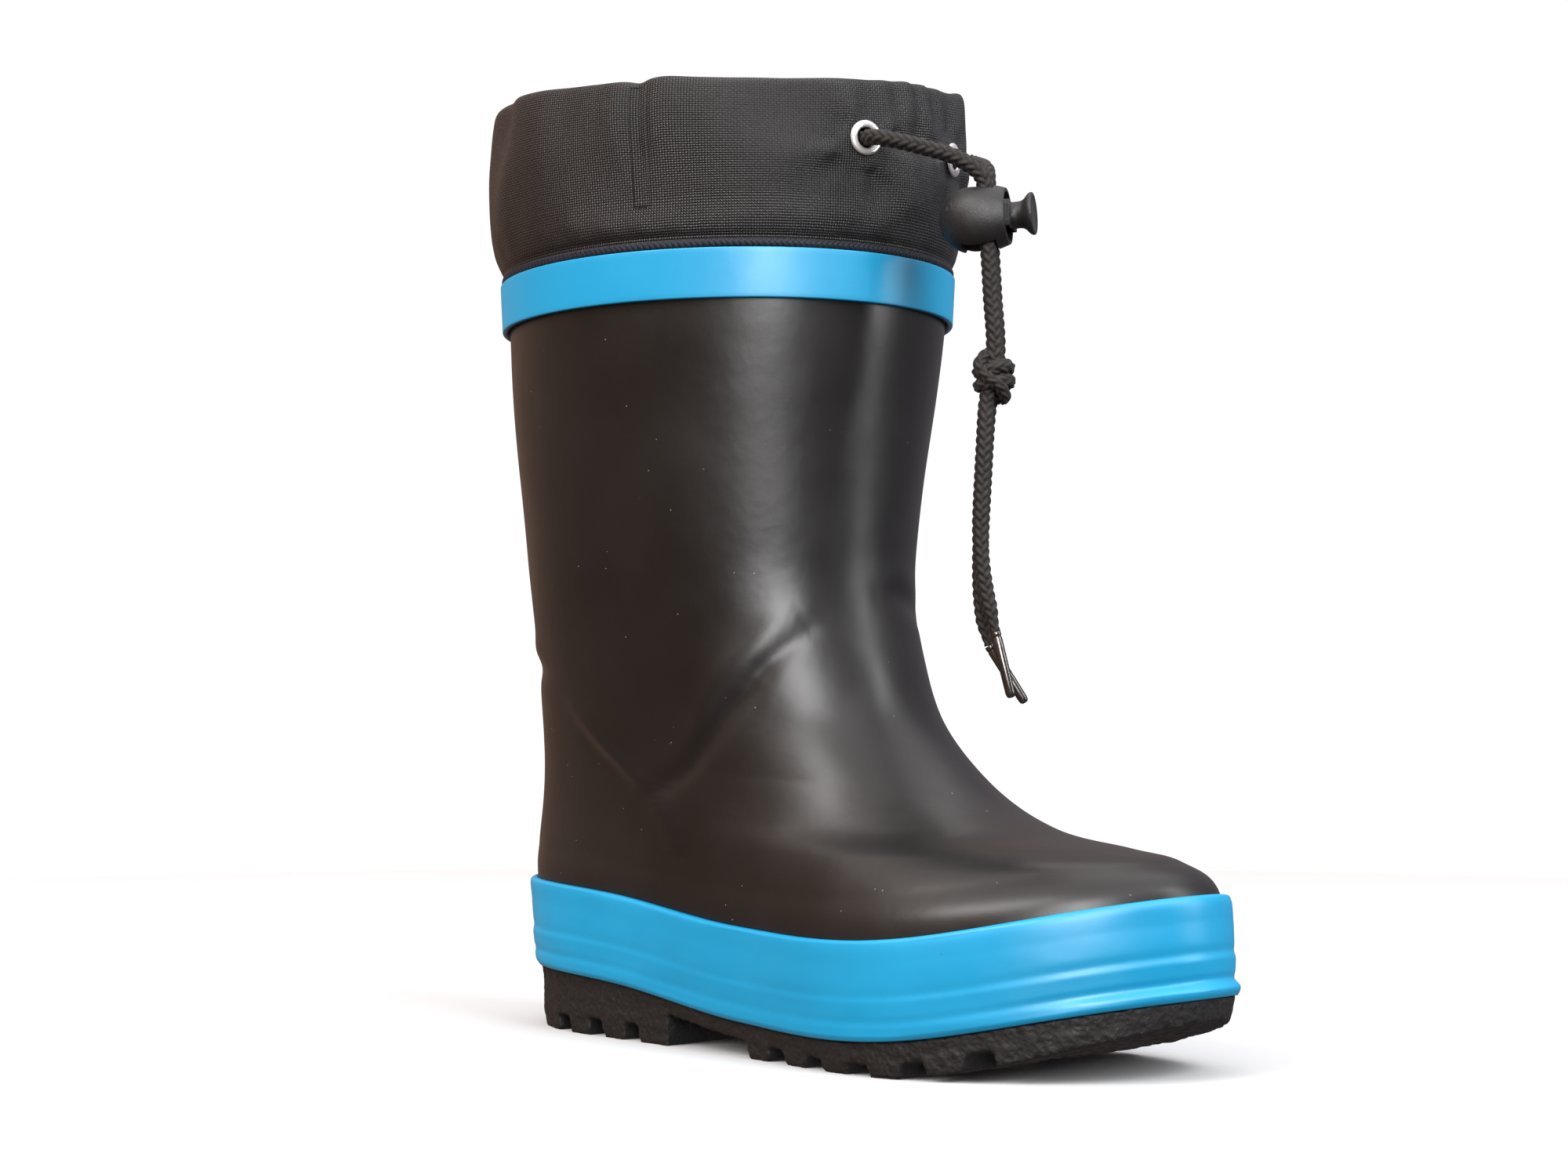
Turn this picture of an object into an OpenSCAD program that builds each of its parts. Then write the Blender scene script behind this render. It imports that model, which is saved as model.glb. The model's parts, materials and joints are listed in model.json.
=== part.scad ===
// Child's pull-on rubber boot for the right foot, with a nylon cuff that a drawcord closes.
// Millimetres. The toe points to -Y, up is +Z and the outer side of the foot is -X.
// The ground is z = 0, and the origin is the middle of the boot's footprint.

/* [Sole] */
// Length of the sole, heel to toe
sole_length = 211; // [200:1:222]
// Width of the sole across the ball of the foot
ball_width = 84; // [80:1:90]
// Height of the coloured side band that wraps the bottom of the boot
foxing_height = 23; // [20:1:26]
// Depth of the grooves under the heel
heel_groove = 4.5; // [3:0.1:6]
// Distance from one groove to the next
tread_pitch = 15; // [14:0.5:16]
// Width of a groove
groove_width = 5; // [4:0.5:6]

/* [Leg] */
// Thickness of the rubber leg
rubber_wall = 1.6; // [1.2:0.1:1.6]
// Thickness of the knitted lining
lining_wall = 0.8; // [0.6:0.1:1]
// Height of the coloured band round the top of the leg
band_height = 12.5; // [10:0.5:14]
// Thickness of that band
band_wall = 1.3; // [1:0.1:2]

/* [Cuff] */
// Height of the nylon cuff above the coloured band
cuff_height = 48; // [40:1:55]
// Thickness of the nylon
nylon = 0.7; // [0.5:0.1:0.8]
// Outer diameter of an eyelet
eyelet_d = 8.8; // [8:0.1:10]
// Angle from the middle of the front to each eyelet
eyelet_spread = 17; // [15:1:20]

/* [Drawcord] */
// Diameter of the drawcord
cord_d = 4.2; // [3.8:0.1:4.3]
// Diameter of a metal tip
tip_d = 2.6; // [2.2:0.1:3]
// Length of a metal tip
tip_length = 16.5; // [14:0.5:18]

/* [Cord lock] */
// Diameter of the ball-shaped housing
lock_d = 17; // [16.5:0.1:18]
// How far the button is pressed in
lock_stroke = 3.2; // [2:0.1:3.2]

/* [Hidden] */

// ---- sizes that follow from the ones above ----
length_scale = sole_length / 211;
width_scale = ball_width / 84;
around = 56;               // points round the boot
layer_gap = 0.15;          // room left between glued layers
band_top = 199;
band_low = band_top - band_height;
cuff_top = band_top + cuff_height;
lining_out = rubber_wall + 1;
inside = lining_out + lining_wall;
board_z = 4.7;             // heights above the outsole's upper face
footbed_z = 6.7;
footbed_top = 10.5;
cord_r = cord_d / 2;

// Rows of the boot's skin, from the sole up:
// y and z of the front, y and z of the back, half width, shape (0 sole, 1 instep, 2 leg), dip of the waist
ROWS = [
    [-104.6, 19.1, 100.2, 17.5, 38.8, 0.0, 1.00],
    [-105.2, 42.0, 104.5, 40.5, 40.5, 0.1, 1.00],
    [-95.5, 49.5, 105.0, 50.0, 38.5, 0.3, 0.80],
    [-82.0, 52.0, 104.5, 60.0, 36.5, 0.6, 0.45],
    [-61.5, 55.5, 104.0, 68.0, 35.0, 0.9, 0.20],
    [-41.0, 65.0, 102.5, 77.0, 35.5, 1.0, 0.00],
    [-23.5, 81.0, 100.2, 88.0, 38.5, 1.2, 0.00],
    [-15.2, 100.0, 98.6, 100.0, 42.5, 1.6, 0.00],
    [-12.4, 116.0, 99.5, 114.0, 45.6, 1.9, 0.00],
    [-13.0, 132.0, 101.3, 130.0, 47.8, 2.0, 0.00],
    [-15.7, 158.0, 103.0, 158.0, 51.5, 2.0, 0.00],
    [-19.8, 186.0, 104.3, 186.0, 54.3, 2.0, 0.00],
    [-20.0, 194.0, 104.4, 194.0, 54.4, 2.0, 0.00]];
TOP_ROW = len(ROWS) - 1;
// Each shape has five stations from toe to heel: width factors and sideways shift of the middle
WIDTHS = [[1.38, 1.13, 0.84, 0.84, 1.29], [1.15, 1.00, 0.97, 1.00, 1.15], [1, 1, 1, 1, 1]];
SHIFTS = [[9, -1, -2.3, -2.2, 0.5], [4, 0, -1.5, -1.5, 0], [0, 0, 0, 0, 0]];
// Dip of the waist and ball below a straight line from toe to heel, at the same stations
DIP = [0, -9.8, -9.2, -3.1, 0];
// Thickness of the outsole's plate at the same stations
PLATE = [3.6, 5.2, 4.6, 3.9, 4.0];

// Profile of the foxing: [row, thickness]
FOXING = [[0, 2.9], [0.05, 3.5], [0.13, 3.45], [0.18, 2.95], [0.24, 3.3], [0.37, 3.3],
    [0.42, 2.65], [0.5, 2.75], [0.72, 2.35], [0.9, 2.35], [0.97, 2.1], [1, 1.5]];
// Profile of the cuff's outer layer, and of the layer folded to the inside: [distance out of the leg, z]
CUFF_OUT = [[0.1 + nylon, band_low + 2], [0.1 + nylon, band_top + 3.4], [1.8, band_top + 5.6],
    [3, band_top + 13], [3.3, band_top + 29], [2.6, cuff_top - 7], [1.4, cuff_top - 1.4], [0, cuff_top]];
CUFF_IN = [[-1.4, cuff_top - 1], [-2.6, cuff_top - 7], [-3.6, band_top + 29], [-3.4, band_top + 13],
    [-3, band_top + 4], [-3.3, band_top - 3]];

// ---- curves ----
function mix(a, b, t) = a + (b - a) * t;
// smooth curve through evenly spaced values
function smooth(list, t) =
    let (n = len(list), i = max(0, min(floor(t), n - 2)), u = t - i)
    let (b = list[i], c = list[i + 1])
    let (a = i > 0 ? list[i - 1] : 2 * b - c, d = i < n - 2 ? list[i + 2] : 2 * c - b)
    0.5 * (2 * b + (c - a) * u + (2 * a - 5 * b + 4 * c - d) * u * u + (3 * b - 3 * c + d - a) * u * u * u);
// value at station s: 1 is the toe and -1 the heel
function station(list, s) = smooth(list, 2 - 2 * s);

// ---- the boot's skin ----
// Point at a row and an angle: angle 0 is the toe, 90 the inner side, 180 the heel
function skin_point(row, angle) =
    let (r = smooth(ROWS, row), s = cos(angle), shape = max(0, min(2, r[5])))
    let (i = min(floor(shape), 1), u = shape - i, q = (1 - s) / 2)
    let (half = r[4] * station(mix(WIDTHS[i], WIDTHS[i + 1], u), s))
    let (shift = station(mix(SHIFTS[i], SHIFTS[i + 1], u), s))
    [width_scale * (shift + half * sin(angle)),
        length_scale * mix(r[0], r[2], q),
        mix(r[1], r[3], q) + r[6] * station(DIP, s)];
// The same point moved out of the skin by a distance
function skin(row, angle, out) =
    let (p = skin_point(row, angle))
    let (along = skin_point(row, angle + 2) - skin_point(row, angle - 2))
    let (up = skin_point(min(row + 0.05, TOP_ROW), angle) - skin_point(max(row - 0.05, 0), angle))
    let (n = cross(along, up))
    p + n * (out / norm(n));
function skin_ring(row, out) = [for (i = [0:around - 1]) skin(row, i * 360 / around, out)];
// A level ring inside the boot at a height above the outsole
function floor_ring(height, out) =
    let (ring = skin_ring(height / foxing_height, out))
    [for (i = [0:around - 1]) [ring[i][0], ring[i][1], fox_z(i * 360 / around) + height]];
// Height of the outsole's upper face
function fox_z(angle) = skin_point(0, angle)[2] - 0.2;

// ---- the oval of the leg's top, that the band and the cuff follow ----
leg_middle = 42.2 * length_scale;
function oval(angle, z, out) =
    let (grow = (z - 188) * 0.05)
    [(54.4 * width_scale + grow + out) * sin(angle),
        leg_middle - (62.15 * length_scale + grow + out) * cos(angle), z];
function oval_ring(z, out) = [for (i = [0:around - 1]) oval(i * 360 / around, z, out)];

// ---- solids made of rings ----
function flat(lists) = [for (l = lists) each l];
// quads from ring a to ring b, each of n points, closed round
function quads(a, b, n) = [for (j = [0:n - 1]) let (k = (j + 1) % n)
    each [[a * n + j, b * n + k, a * n + k], [a * n + j, b * n + j, b * n + k]]];
// a tube with a thickness: the rings run up the outside and down the inside
module wall(rings) {
    m = len(rings);
    n = len(rings[0]);
    polyhedron(flat(rings), flat([for (i = [0:m - 1]) quads(i, (i + 1) % m, n)]));
}
// a closed stack of rings, capped straight across from side to side
module stack(rings) {
    m = len(rings);
    n = len(rings[0]);
    top = (m - 1) * n;
    lid = flat([for (j = [0:n / 2 - 1]) let (a = j, b = j + 1, c = n - j - 1, d = (n - j) % n)
        [if (a != d) [a, b, d], if (b != c) [b, c, d]]]);
    polyhedron(flat(rings), concat(flat([for (i = [0:m - 2]) quads(i, i + 1, n)]),
        [for (f = lid) f], [for (f = lid) [top + f[2], top + f[1], top + f[0]]]));
}
// a patch of the skin on some of its rows, between two of its columns and two depths
module patch(rows, column0, column1, outer, inner) {
    // one ring per row: along the outer face and back along the inner face
    stack_open([for (row = rows) concat([for (j = [column0:column1]) skin(row, j * 360 / around, outer)],
        [for (j = [column1:-1:column0]) skin(row, j * 360 / around, inner)])]);
}
// rings of any outline, with fans at the two ends that join point j to its opposite
module stack_open(rings) {
    m = len(rings);
    n = len(rings[0]);
    top = (m - 1) * n;
    lid = flat([for (j = [0:n / 2 - 2]) [[j, j + 1, n - 1 - j], [j + 1, n - 2 - j, n - 1 - j]]]);
    polyhedron(flat(rings), concat(flat([for (i = [0:m - 2]) quads(i, i + 1, n)]),
        lid, [for (f = lid) [top + f[2], top + f[1], top + f[0]]]));
}

// ---- outsole ----
outsole_out = 2.2;
function toe_flare(angle) = 1.5 * max(0, (cos(angle) - 0.8) / 0.2);
heel_breast = 29.5;
toe_start = -50;
// angle at which the outsole's edge has a given y
function edge_angle(y) =
    let (front = ROWS[0][0] * length_scale - outsole_out, back = ROWS[0][2] * length_scale + outsole_out)
    acos(max(-1, min(1, 1 - 2 * (y * length_scale - front) / (back - front))));
function plate_z(angle) = fox_z(angle) - station(PLATE, cos(angle));
// the rubber that stands on the ground, with the toe turned up
function ground_z(y) = y > toe_start ? 0 : 14 * pow((toe_start - y) / 58, 1.6);
// a slab between two y places: its top and bottom are given as functions of the edge angle
module slab(y0, y1, steps, top, low, out_top, out_low, side0, side1, taper) {
    rings = [for (i = [0:steps])
        let (a = mix(edge_angle(y0), edge_angle(y1), i / steps))
        let (b = mix(edge_angle(y0) + taper, edge_angle(y1) - taper, i / steps))
        let (out = out_top + toe_flare(a), low_out = out_low + toe_flare(b))
        let (right = skin(0, -a, out), left = skin(0, a, out))
        let (right_low = skin(0, -b, low_out), left_low = skin(0, b, low_out))
        let (p0 = mix(right, left, side0), p1 = mix(right, left, side1))
        let (p2 = mix(right_low, left_low, side1), p3 = mix(right_low, left_low, side0))
        [[p0[0], p0[1], top(a)], [p1[0], p1[1], top(a)], [p2[0], p2[1], low(b)], [p3[0], p3[1], low(b)]]];
    stack_open(rings);
}
toe_tip = -106.6;
heel_tip = 102.2;
module outsole() color("#26272a") union() {
    plate_top = function(a) fox_z(a);
    plate_low = function(a) plate_z(a);
    slab(toe_tip, heel_tip, 34, plate_top, plate_low, outsole_out, outsole_out - 0.8, 0, 1, 0);
    // heel block and its lugs
    block_top = function(a) plate_z(a) + 0.6;
    block_low = function(a) heel_groove;
    slab(heel_breast, heel_tip, 12, block_top, block_low, outsole_out - 0.6, outsole_out - 0.9, 0, 1, 0);
    lug_top = function(a) heel_groove + 0.5;
    on_ground = function(a) 0;
    for (i = [2:5])
        for (side = i == 5 ? [[0, 1]] : [[0, 0.42], [0.58, 1]])
            slab(i == 2 ? heel_breast : i * tread_pitch + groove_width / 2,
                i == 5 ? heel_tip : (i + 1) * tread_pitch - groove_width / 2, 4,
                lug_top, on_ground, outsole_out - 0.9, outsole_out - 1.5, side[0], side[1], 0.5);
    // forefoot lugs
    fore_top = function(a) plate_z(a) + 0.8;
    fore_low = function(a) ground_z(skin(0, a, outsole_out)[1]);
    for (i = [-5:-1])
        for (side = [[0, 0.4], [0.6, 1]])
            slab(i * tread_pitch + groove_width / 2, (i + 1) * tread_pitch - groove_width / 2, 3,
                fore_top, fore_low, outsole_out - 0.5, outsole_out - 1.3, side[0], side[1], 0.6);
    // middle lugs and the smooth toe
    for (i = [-5:-2])
        slab((i + 0.5) * tread_pitch + groove_width / 2, (i + 1.5) * tread_pitch - groove_width / 2, 3,
            fore_top, fore_low, outsole_out - 2, outsole_out - 2, 0.43, 0.57, 0.3);
    slab(toe_tip, -5 * tread_pitch - groove_width / 2, 8,
        fore_top, fore_low, outsole_out - 0.5, outsole_out - 1.3, 0, 1, 0.6);
}

// ---- layers inside the sole ----
module sole_core() color("#3a3a3c")
    stack([floor_ring(0.4, -rubber_wall - layer_gap), floor_ring(board_z - 0.2, -rubber_wall - layer_gap)]);
module insole_board() color("#8c7b63")
    stack([floor_ring(board_z, -rubber_wall - layer_gap),
        floor_ring(footbed_z - 0.2, -rubber_wall - layer_gap)]);
module footbed() color("#2e3f55")
    stack([floor_ring(footbed_z, -inside - 0.3), floor_ring(footbed_top - 0.8, -inside - 0.3),
        floor_ring(footbed_top, -inside - 1.2)]);

// ---- leg ----
UPPER_ROWS = [0, 0.33, 0.67, 1, 1.35, 1.7, 2, 2.4, 2.8, 3.2, 3.6, 4, 4.4, 4.8, 5.2, 5.6, 6, 6.5, 7,
    7.5, 8, 8.7, 9.5, 10.3, 11, 12];
module upper() color("#232427")
    wall(concat([for (r = UPPER_ROWS) skin_ring(r, 0)],
        [for (i = [len(UPPER_ROWS) - 1:-1:0]) skin_ring(UPPER_ROWS[i], -rubber_wall)]));
module toe_stiffener() color("#303134")
    patch([0.67, 1, 1.35, 1.7, 2], -10, 10, -rubber_wall - 0.1, -lining_out + 0.1);
module heel_stiffener() color("#303134")
    patch([0.67, 1, 1.35, 1.7, 2, 2.4, 2.8, 3.2, 3.6, 4, 4.4, 4.8], 20, 36,
        -rubber_wall - 0.1, -lining_out + 0.1);
LINING_ROWS = [0.4, 0.67, 1, 1.35, 1.7, 2, 2.4, 2.8, 3.2, 3.6, 4, 4.4, 4.8, 5.2, 5.6, 6, 6.5, 7, 8,
    9.5, 11, 11.9];
module lining() color("#3c3f45")
    wall(concat([for (r = LINING_ROWS) skin_ring(r, -lining_out)],
        [for (i = [len(LINING_ROWS) - 1:-1:0]) skin_ring(LINING_ROWS[i], -inside)]));

// ---- coloured rubber ----
// the bead along the lower edge spreads out round the toe
function flare(row, angle) = row < 0.14 ? toe_flare(angle) : 0;
module foxing() color("#0b78bd")
    wall(concat([for (p = FOXING) [for (i = [0:around - 1])
            let (a = i * 360 / around) skin(p[0], a, p[1] + flare(p[0], a))]],
        [for (r = [1, 0.67, 0.33, 0]) skin_ring(r, 0.12)]));
band_in = 0.1 + nylon + 0.1;
module top_band() color("#1583c8")
    wall([oval_ring(band_low, band_in + band_wall * 0.6), oval_ring(band_low + 0.6, band_in + band_wall),
        oval_ring(band_top - 0.6, band_in + band_wall), oval_ring(band_top, band_in + band_wall * 0.6),
        oval_ring(band_top, band_in), oval_ring(band_low, band_in)]);

// ---- cuff ----
// the cuff's edge hangs a little lower on the outer side of the front
function cuff_drop(angle) = 6 * pow(max(0, cos(angle + 45)), 1.6);
function cuff_point(angle, p) =
    oval(angle, p[1] - cuff_drop(angle) * max(0, (p[1] - band_top - 13) / (cuff_height - 13)), p[0]);
// the nylon's profile closed with its own thickness
CUFF = concat(CUFF_OUT, CUFF_IN,
    [for (i = [len(CUFF_IN) - 1:-1:0]) CUFF_IN[i] + [nylon, i == 0 ? -0.9 : i == 1 ? -0.4 : 0]],
    [[0, cuff_top - 1]],
    [for (i = [len(CUFF_OUT) - 2:-1:2]) CUFF_OUT[i] + [-nylon, i == 6 ? -0.9 : i == 2 ? 0.4 : 0]],
    [[0.1, band_top + 4], [0.1, band_low + 2]]);
eyelet_z = band_top + 28;
eyelet_turn = 2.5;         // the pair sits a little to the inner side of the front
function eyelet_angle(side) = eyelet_turn + side * eyelet_spread;
cuff_face = 3.3;           // the cuff's face at the eyelets, out of the leg
// puts its children at an eyelet: side -1 is the outer one, +1 the inner one, +Z points out of the cuff
module at_eyelet(side) {
    a = eyelet_angle(side);
    p = oval(a, eyelet_z, cuff_face);
    q = oval(a + 1, eyelet_z, cuff_face) - oval(a - 1, eyelet_z, cuff_face);
    translate(p) rotate([90, 0, atan2(q[1], q[0])]) children();
}
module cuff() color("#2b2c30") difference() {
    wall([for (p = CUFF) [for (i = [0:around - 1]) cuff_point(i * 360 / around, p)]]);
    for (side = [-1, 1])
        at_eyelet(side) translate([0, 0, -2.6]) cylinder(r = eyelet_r + 0.55, h = 6, $fn = 32);
}
module cuff_binding() color("#101828")
    wall([oval_ring(band_top + 0.2, band_in), oval_ring(band_top + 0.2, band_in + 0.7),
        oval_ring(band_top + 3, band_in + 0.7), oval_ring(band_top + 3, band_in)]);
// the upright seam where the nylon's two ends meet, on the outer side
seam_angle = -68;
module cuff_seam() color("#1d1e22") {
    stack_open([for (i = [3:6]) let (face = CUFF_OUT[i] + [0.12, 0], top = CUFF_OUT[i] + [0.45, 0])
        [cuff_point(seam_angle - 1.2, top), cuff_point(seam_angle + 1.2, top),
            cuff_point(seam_angle + 1.2, face), cuff_point(seam_angle - 1.2, face)]]);
}

// ---- eyelets ----
eyelet_r = 2.6;
module eyelet(side) color("#c8cbd0") at_eyelet(side)
    rotate_extrude($fn = 40) polygon(concat(
        [[eyelet_r, -1.65], [eyelet_r + 0.3, -1.65], [eyelet_r + 0.3, 0.15],
        [eyelet_d / 2, 0.15]], [for (t = [0:30:180])
            [(eyelet_r + eyelet_d / 2) / 2 + cos(t) * (eyelet_d / 2 - eyelet_r) / 2,
        0.25 + 0.75 * sin(t)]]));
module washer(side) color("#b5b8bd") at_eyelet(side) translate([0, 0, -1.6]) difference() {
    cylinder(d = eyelet_d, h = 0.35, $fn = 40);
    translate([0, 0, -1]) cylinder(r = eyelet_r + 0.4, h = 3, $fn = 40);
}
module eyelet_right() eyelet(-1);
module eyelet_left() eyelet(1);
module washer_right() washer(-1);
module washer_left() washer(1);

// ---- drawcord ----
// the cord lock sits on the two strands: yaw and lean of its own axes
lock_at = [3, -47.6, 206];
lock_yaw = -60;
lock_lean = 3;
strand_gap = 2.25;         // each strand's distance from the lock's middle
// a point given along the lock's own axes
function in_lock(p) =
    let (x = p[0] * cos(lock_lean) - p[2] * sin(lock_lean))
    let (z = p[0] * sin(lock_lean) + p[2] * cos(lock_lean))
    lock_at + [x * cos(lock_yaw) - p[1] * sin(lock_yaw), x * sin(lock_yaw) + p[1] * cos(lock_yaw), z];
// a tube along points, with a radius at each point
module tube(points, radii, sides) {
    n = len(points);
    rings = [for (i = [0:n - 1])
        let (t = points[min(i + 1, n - 1)] - points[max(i - 1, 0)], w = t / norm(t))
        let (u0 = cross(w, abs(w[0]) < 0.8 ? [1, 0, 0] : [0, 1, 0]), u = u0 / norm(u0), v = cross(w, u))
        [for (j = [0:sides - 1]) let (a = 360 * j / sides)
            points[i] + radii[i] * (u * cos(a) + v * sin(a))]];
    polyhedron(flat(rings), concat(flat([for (i = [0:n - 2]) quads(i, i + 1, sides)]),
        [[for (j = [0:sides - 1]) j]], [[for (j = [sides - 1:-1:0]) (n - 1) * sides + j]]));
}
function even(points, r) = [for (p = points) r];
// the part that runs round inside the folded cuff
casing_z = eyelet_z;
module cord_in_casing() color("#2c2826") {
    a0 = eyelet_angle(1) + 3;
    a1 = 360 + eyelet_angle(-1) - 3;
    points = [for (i = [0:36]) oval(mix(a0, a1, i / 36), casing_z, cuff_face - 3.5)];
    tube(points, even(points, cord_r - 0.1), 8);
}
// free routes, from the eyelet to the lock and down to the knot
ROUTE_RIGHT = [[-14.7, -22.3, 227], [-15.4, -25.4, 226.8], [-15, -29.2, 226], [-12.6, -33.8, 224.6],
    [-9, -38.4, 222.9], [-4.9, -43.2, 220.9], [-0.9, -47.3, 217.3], in_lock([0, -strand_gap, 7.5]),
    in_lock([0, -strand_gap, 0]), in_lock([0, -strand_gap, -9]), in_lock([0, -strand_gap, -20]),
    in_lock([0, -strand_gap, -33])];
ROUTE_LEFT = [[19.5, -20.1, 227], [20.7, -23.3, 226.7], [20.5, -26.8, 225.7], [18.6, -30.5, 224.3],
    [15.6, -34.2, 223], [12, -38.4, 221.5], [8.6, -42.3, 219.8], [6, -44.9, 217.4],
    in_lock([0, strand_gap, 7.5]), in_lock([0, strand_gap, 0]), in_lock([0, strand_gap, -9]),
    in_lock([0, strand_gap, -20]), in_lock([0, strand_gap, -33])];
knot_at = in_lock([-0.8, 0, -39.2]);
knot_w = 11.6;
knot_h = 14.4;
// from the knot down to the tips
TAIL_RIGHT = [[1.2, -48.6, 161], [0.4, -48.7, 157], [-0.1, -48.6, 150], [-0.5, -48.2, 140],
    [-0.8, -47.9, 130], [-0.6, -48.1, 121], [0.2, -48.9, 113], [1, -49.7, 108], [1.7, -50.4, 103.8]];
TAIL_LEFT = [[4.5, -46.6, 161], [4.1, -46.2, 157], [3.9, -45.7, 150], [3.5, -45.3, 140], [3.1, -44.9, 130],
    [2.9, -44.7, 121], [3, -44.8, 113], [3.5, -45.4, 106], [4.3, -46.3, 100.6]];
// a tail narrows to the tip over its last points
function narrowing(points) = [for (i = [0:len(points) - 1])
    i == len(points) - 1 ? tip_d / 2 : i == len(points) - 2 ? cord_r * 0.85 : cord_r];
TIP_RIGHT_END = [4.4, -53.2, 87.6];
TIP_LEFT_END = [10.5, -52.6, 86.4];
module tip(from, to) {
    d = to - from;
    translate(from + 0.4 * d / norm(d)) rotate([0, acos(d[2] / norm(d)), atan2(d[1], d[0])])
        cylinder(d1 = tip_d, d2 = tip_d * 0.92, h = tip_length, $fn = 24);
}
module strand_right() color("#2c2826") tube(ROUTE_RIGHT, even(ROUTE_RIGHT, cord_r), 10);
module strand_left() color("#2c2826") tube(ROUTE_LEFT, even(ROUTE_LEFT, cord_r), 10);
module tail_right() color("#2c2826") tube(TAIL_RIGHT, narrowing(TAIL_RIGHT), 10);
module tail_left() color("#2c2826") tube(TAIL_LEFT, narrowing(TAIL_LEFT), 10);
module tip_right() color("#5a5552") tip(TAIL_RIGHT[8], TIP_RIGHT_END);
module tip_left() color("#5a5552") tip(TAIL_LEFT[8], TIP_LEFT_END);
module knot() color("#2c2826") translate(knot_at)
    rotate_extrude($fn = 36) polygon([for (t = [-90:15:90]) [cos(t) * knot_w / 2, sin(t) * knot_h / 2]]);

// ---- cord lock: local X is the button's axis, local Z runs up the strands ----
module at_lock() translate(lock_at) rotate([0, 0, lock_yaw]) rotate([0, -lock_lean, 0]) children();
housing_back = -12.1;
housing_rim = 5;
ball_x = housing_back + lock_d / 2;
rim_r = 6.95;
button_w = 11.4;
button_h = 6.5;
slot_half = strand_gap + cord_r + 0.15;
button_window = cord_r + 0.2;      // the window's inner end, behind the strands
pocket_end = -9.4;
// a shape turned about the local X axis from [x, radius] points
module turned(points) rotate([0, 90, 0]) rotate_extrude($fn = 48) polygon([for (p = points) [p[1], p[0]]]);
// a flat bar with rounded edges
module bar(x0, x1, w, h, r) intersection() {
    translate([x0, -w / 2, -h / 2]) cube([x1 - x0, w, h]);
    translate([x0, 0, 0]) rotate([0, 90, 0]) cylinder(r = r, h = x1 - x0, $fn = 48);
}
module lock_housing() color("#2d2e31") at_lock() difference() {
    turned(concat([for (t = [90:-10:0]) [ball_x - sin(t) * lock_d / 2, cos(t) * lock_d / 2]],
        [for (i = [1:5]) let (x = i / 5 * (housing_rim - ball_x))
            let (squeeze = pow(x / (housing_rim - ball_x), 2) * (1 - pow(2 * rim_r / lock_d, 2)))
            [ball_x + x, lock_d / 2 * sqrt(1 - squeeze)]],
        [[housing_rim, 0]]));
    // strand slot
    translate([-6.4, -slot_half, -lock_d]) cube([6.4 + cord_r + 0.2, 2 * slot_half, 2 * lock_d]);
    // socket for the button, round recess at its mouth and pocket for the spring
    bar(-7.4, housing_rim + 1, button_w + 0.3, button_h + 0.4, 6.35);
    translate([housing_rim - 1.2, 0, 0]) rotate([0, 90, 0]) cylinder(r = 6.1, h = 3, $fn = 48);
    translate([pocket_end, 0, 0]) rotate([0, 90, 0]) cylinder(r = 3.1, h = 4, $fn = 40);
}
button_back = -button_window - 1.6;
window_end = cord_r + lock_stroke + 0.2;
button_end = 11.5;
module lock_button() color("#2d2e31") at_lock() difference() {
    union() {
        bar(button_back, window_end + 0.6, button_w, button_h, 6.1);
        turned([[window_end, 0], [window_end, 3.3], [8.2, 3.3], [9, 3.6], [10, 4.7], [10.6, 5.2],
            [11.2, 5.3], [button_end, 5.1], [button_end, 0]]);
    }
    translate([-button_window, -slot_half, -10]) cube([window_end + button_window, 2 * slot_half, 20]);
}
spring_turns = 4;
module lock_spring() color("#a9adb2") at_lock() {
    x0 = pocket_end + 0.35;
    x1 = button_back - 0.35;
    points = [for (i = [0:spring_turns * 12]) let (a = i * 30)
        [mix(x0, x1, i / (spring_turns * 12)), 2.5 * cos(a), 2.5 * sin(a)]];
    tube(points, even(points, 0.25), 6);
}

outsole();
sole_core();
insole_board();
footbed();
upper();
toe_stiffener();
heel_stiffener();
lining();
foxing();
top_band();
cuff();
cuff_binding();
cuff_seam();
eyelet_right();
eyelet_left();
washer_right();
washer_left();
cord_in_casing();
strand_right();
strand_left();
knot();
tail_right();
tail_left();
tip_right();
tip_left();
lock_housing();
lock_button();
lock_spring();
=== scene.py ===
# %% [markdown]
# # A child's rubber rain boot with a drawcord cuff
# This lesson dresses a measured model of a rain boot: black rubber, a coloured band round the
# top and round the sole, a nylon cuff, and a braided cord that a spring lock holds shut.
# Every piece below is laid on the measured model, so nothing has to be fitted by eye.

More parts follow.
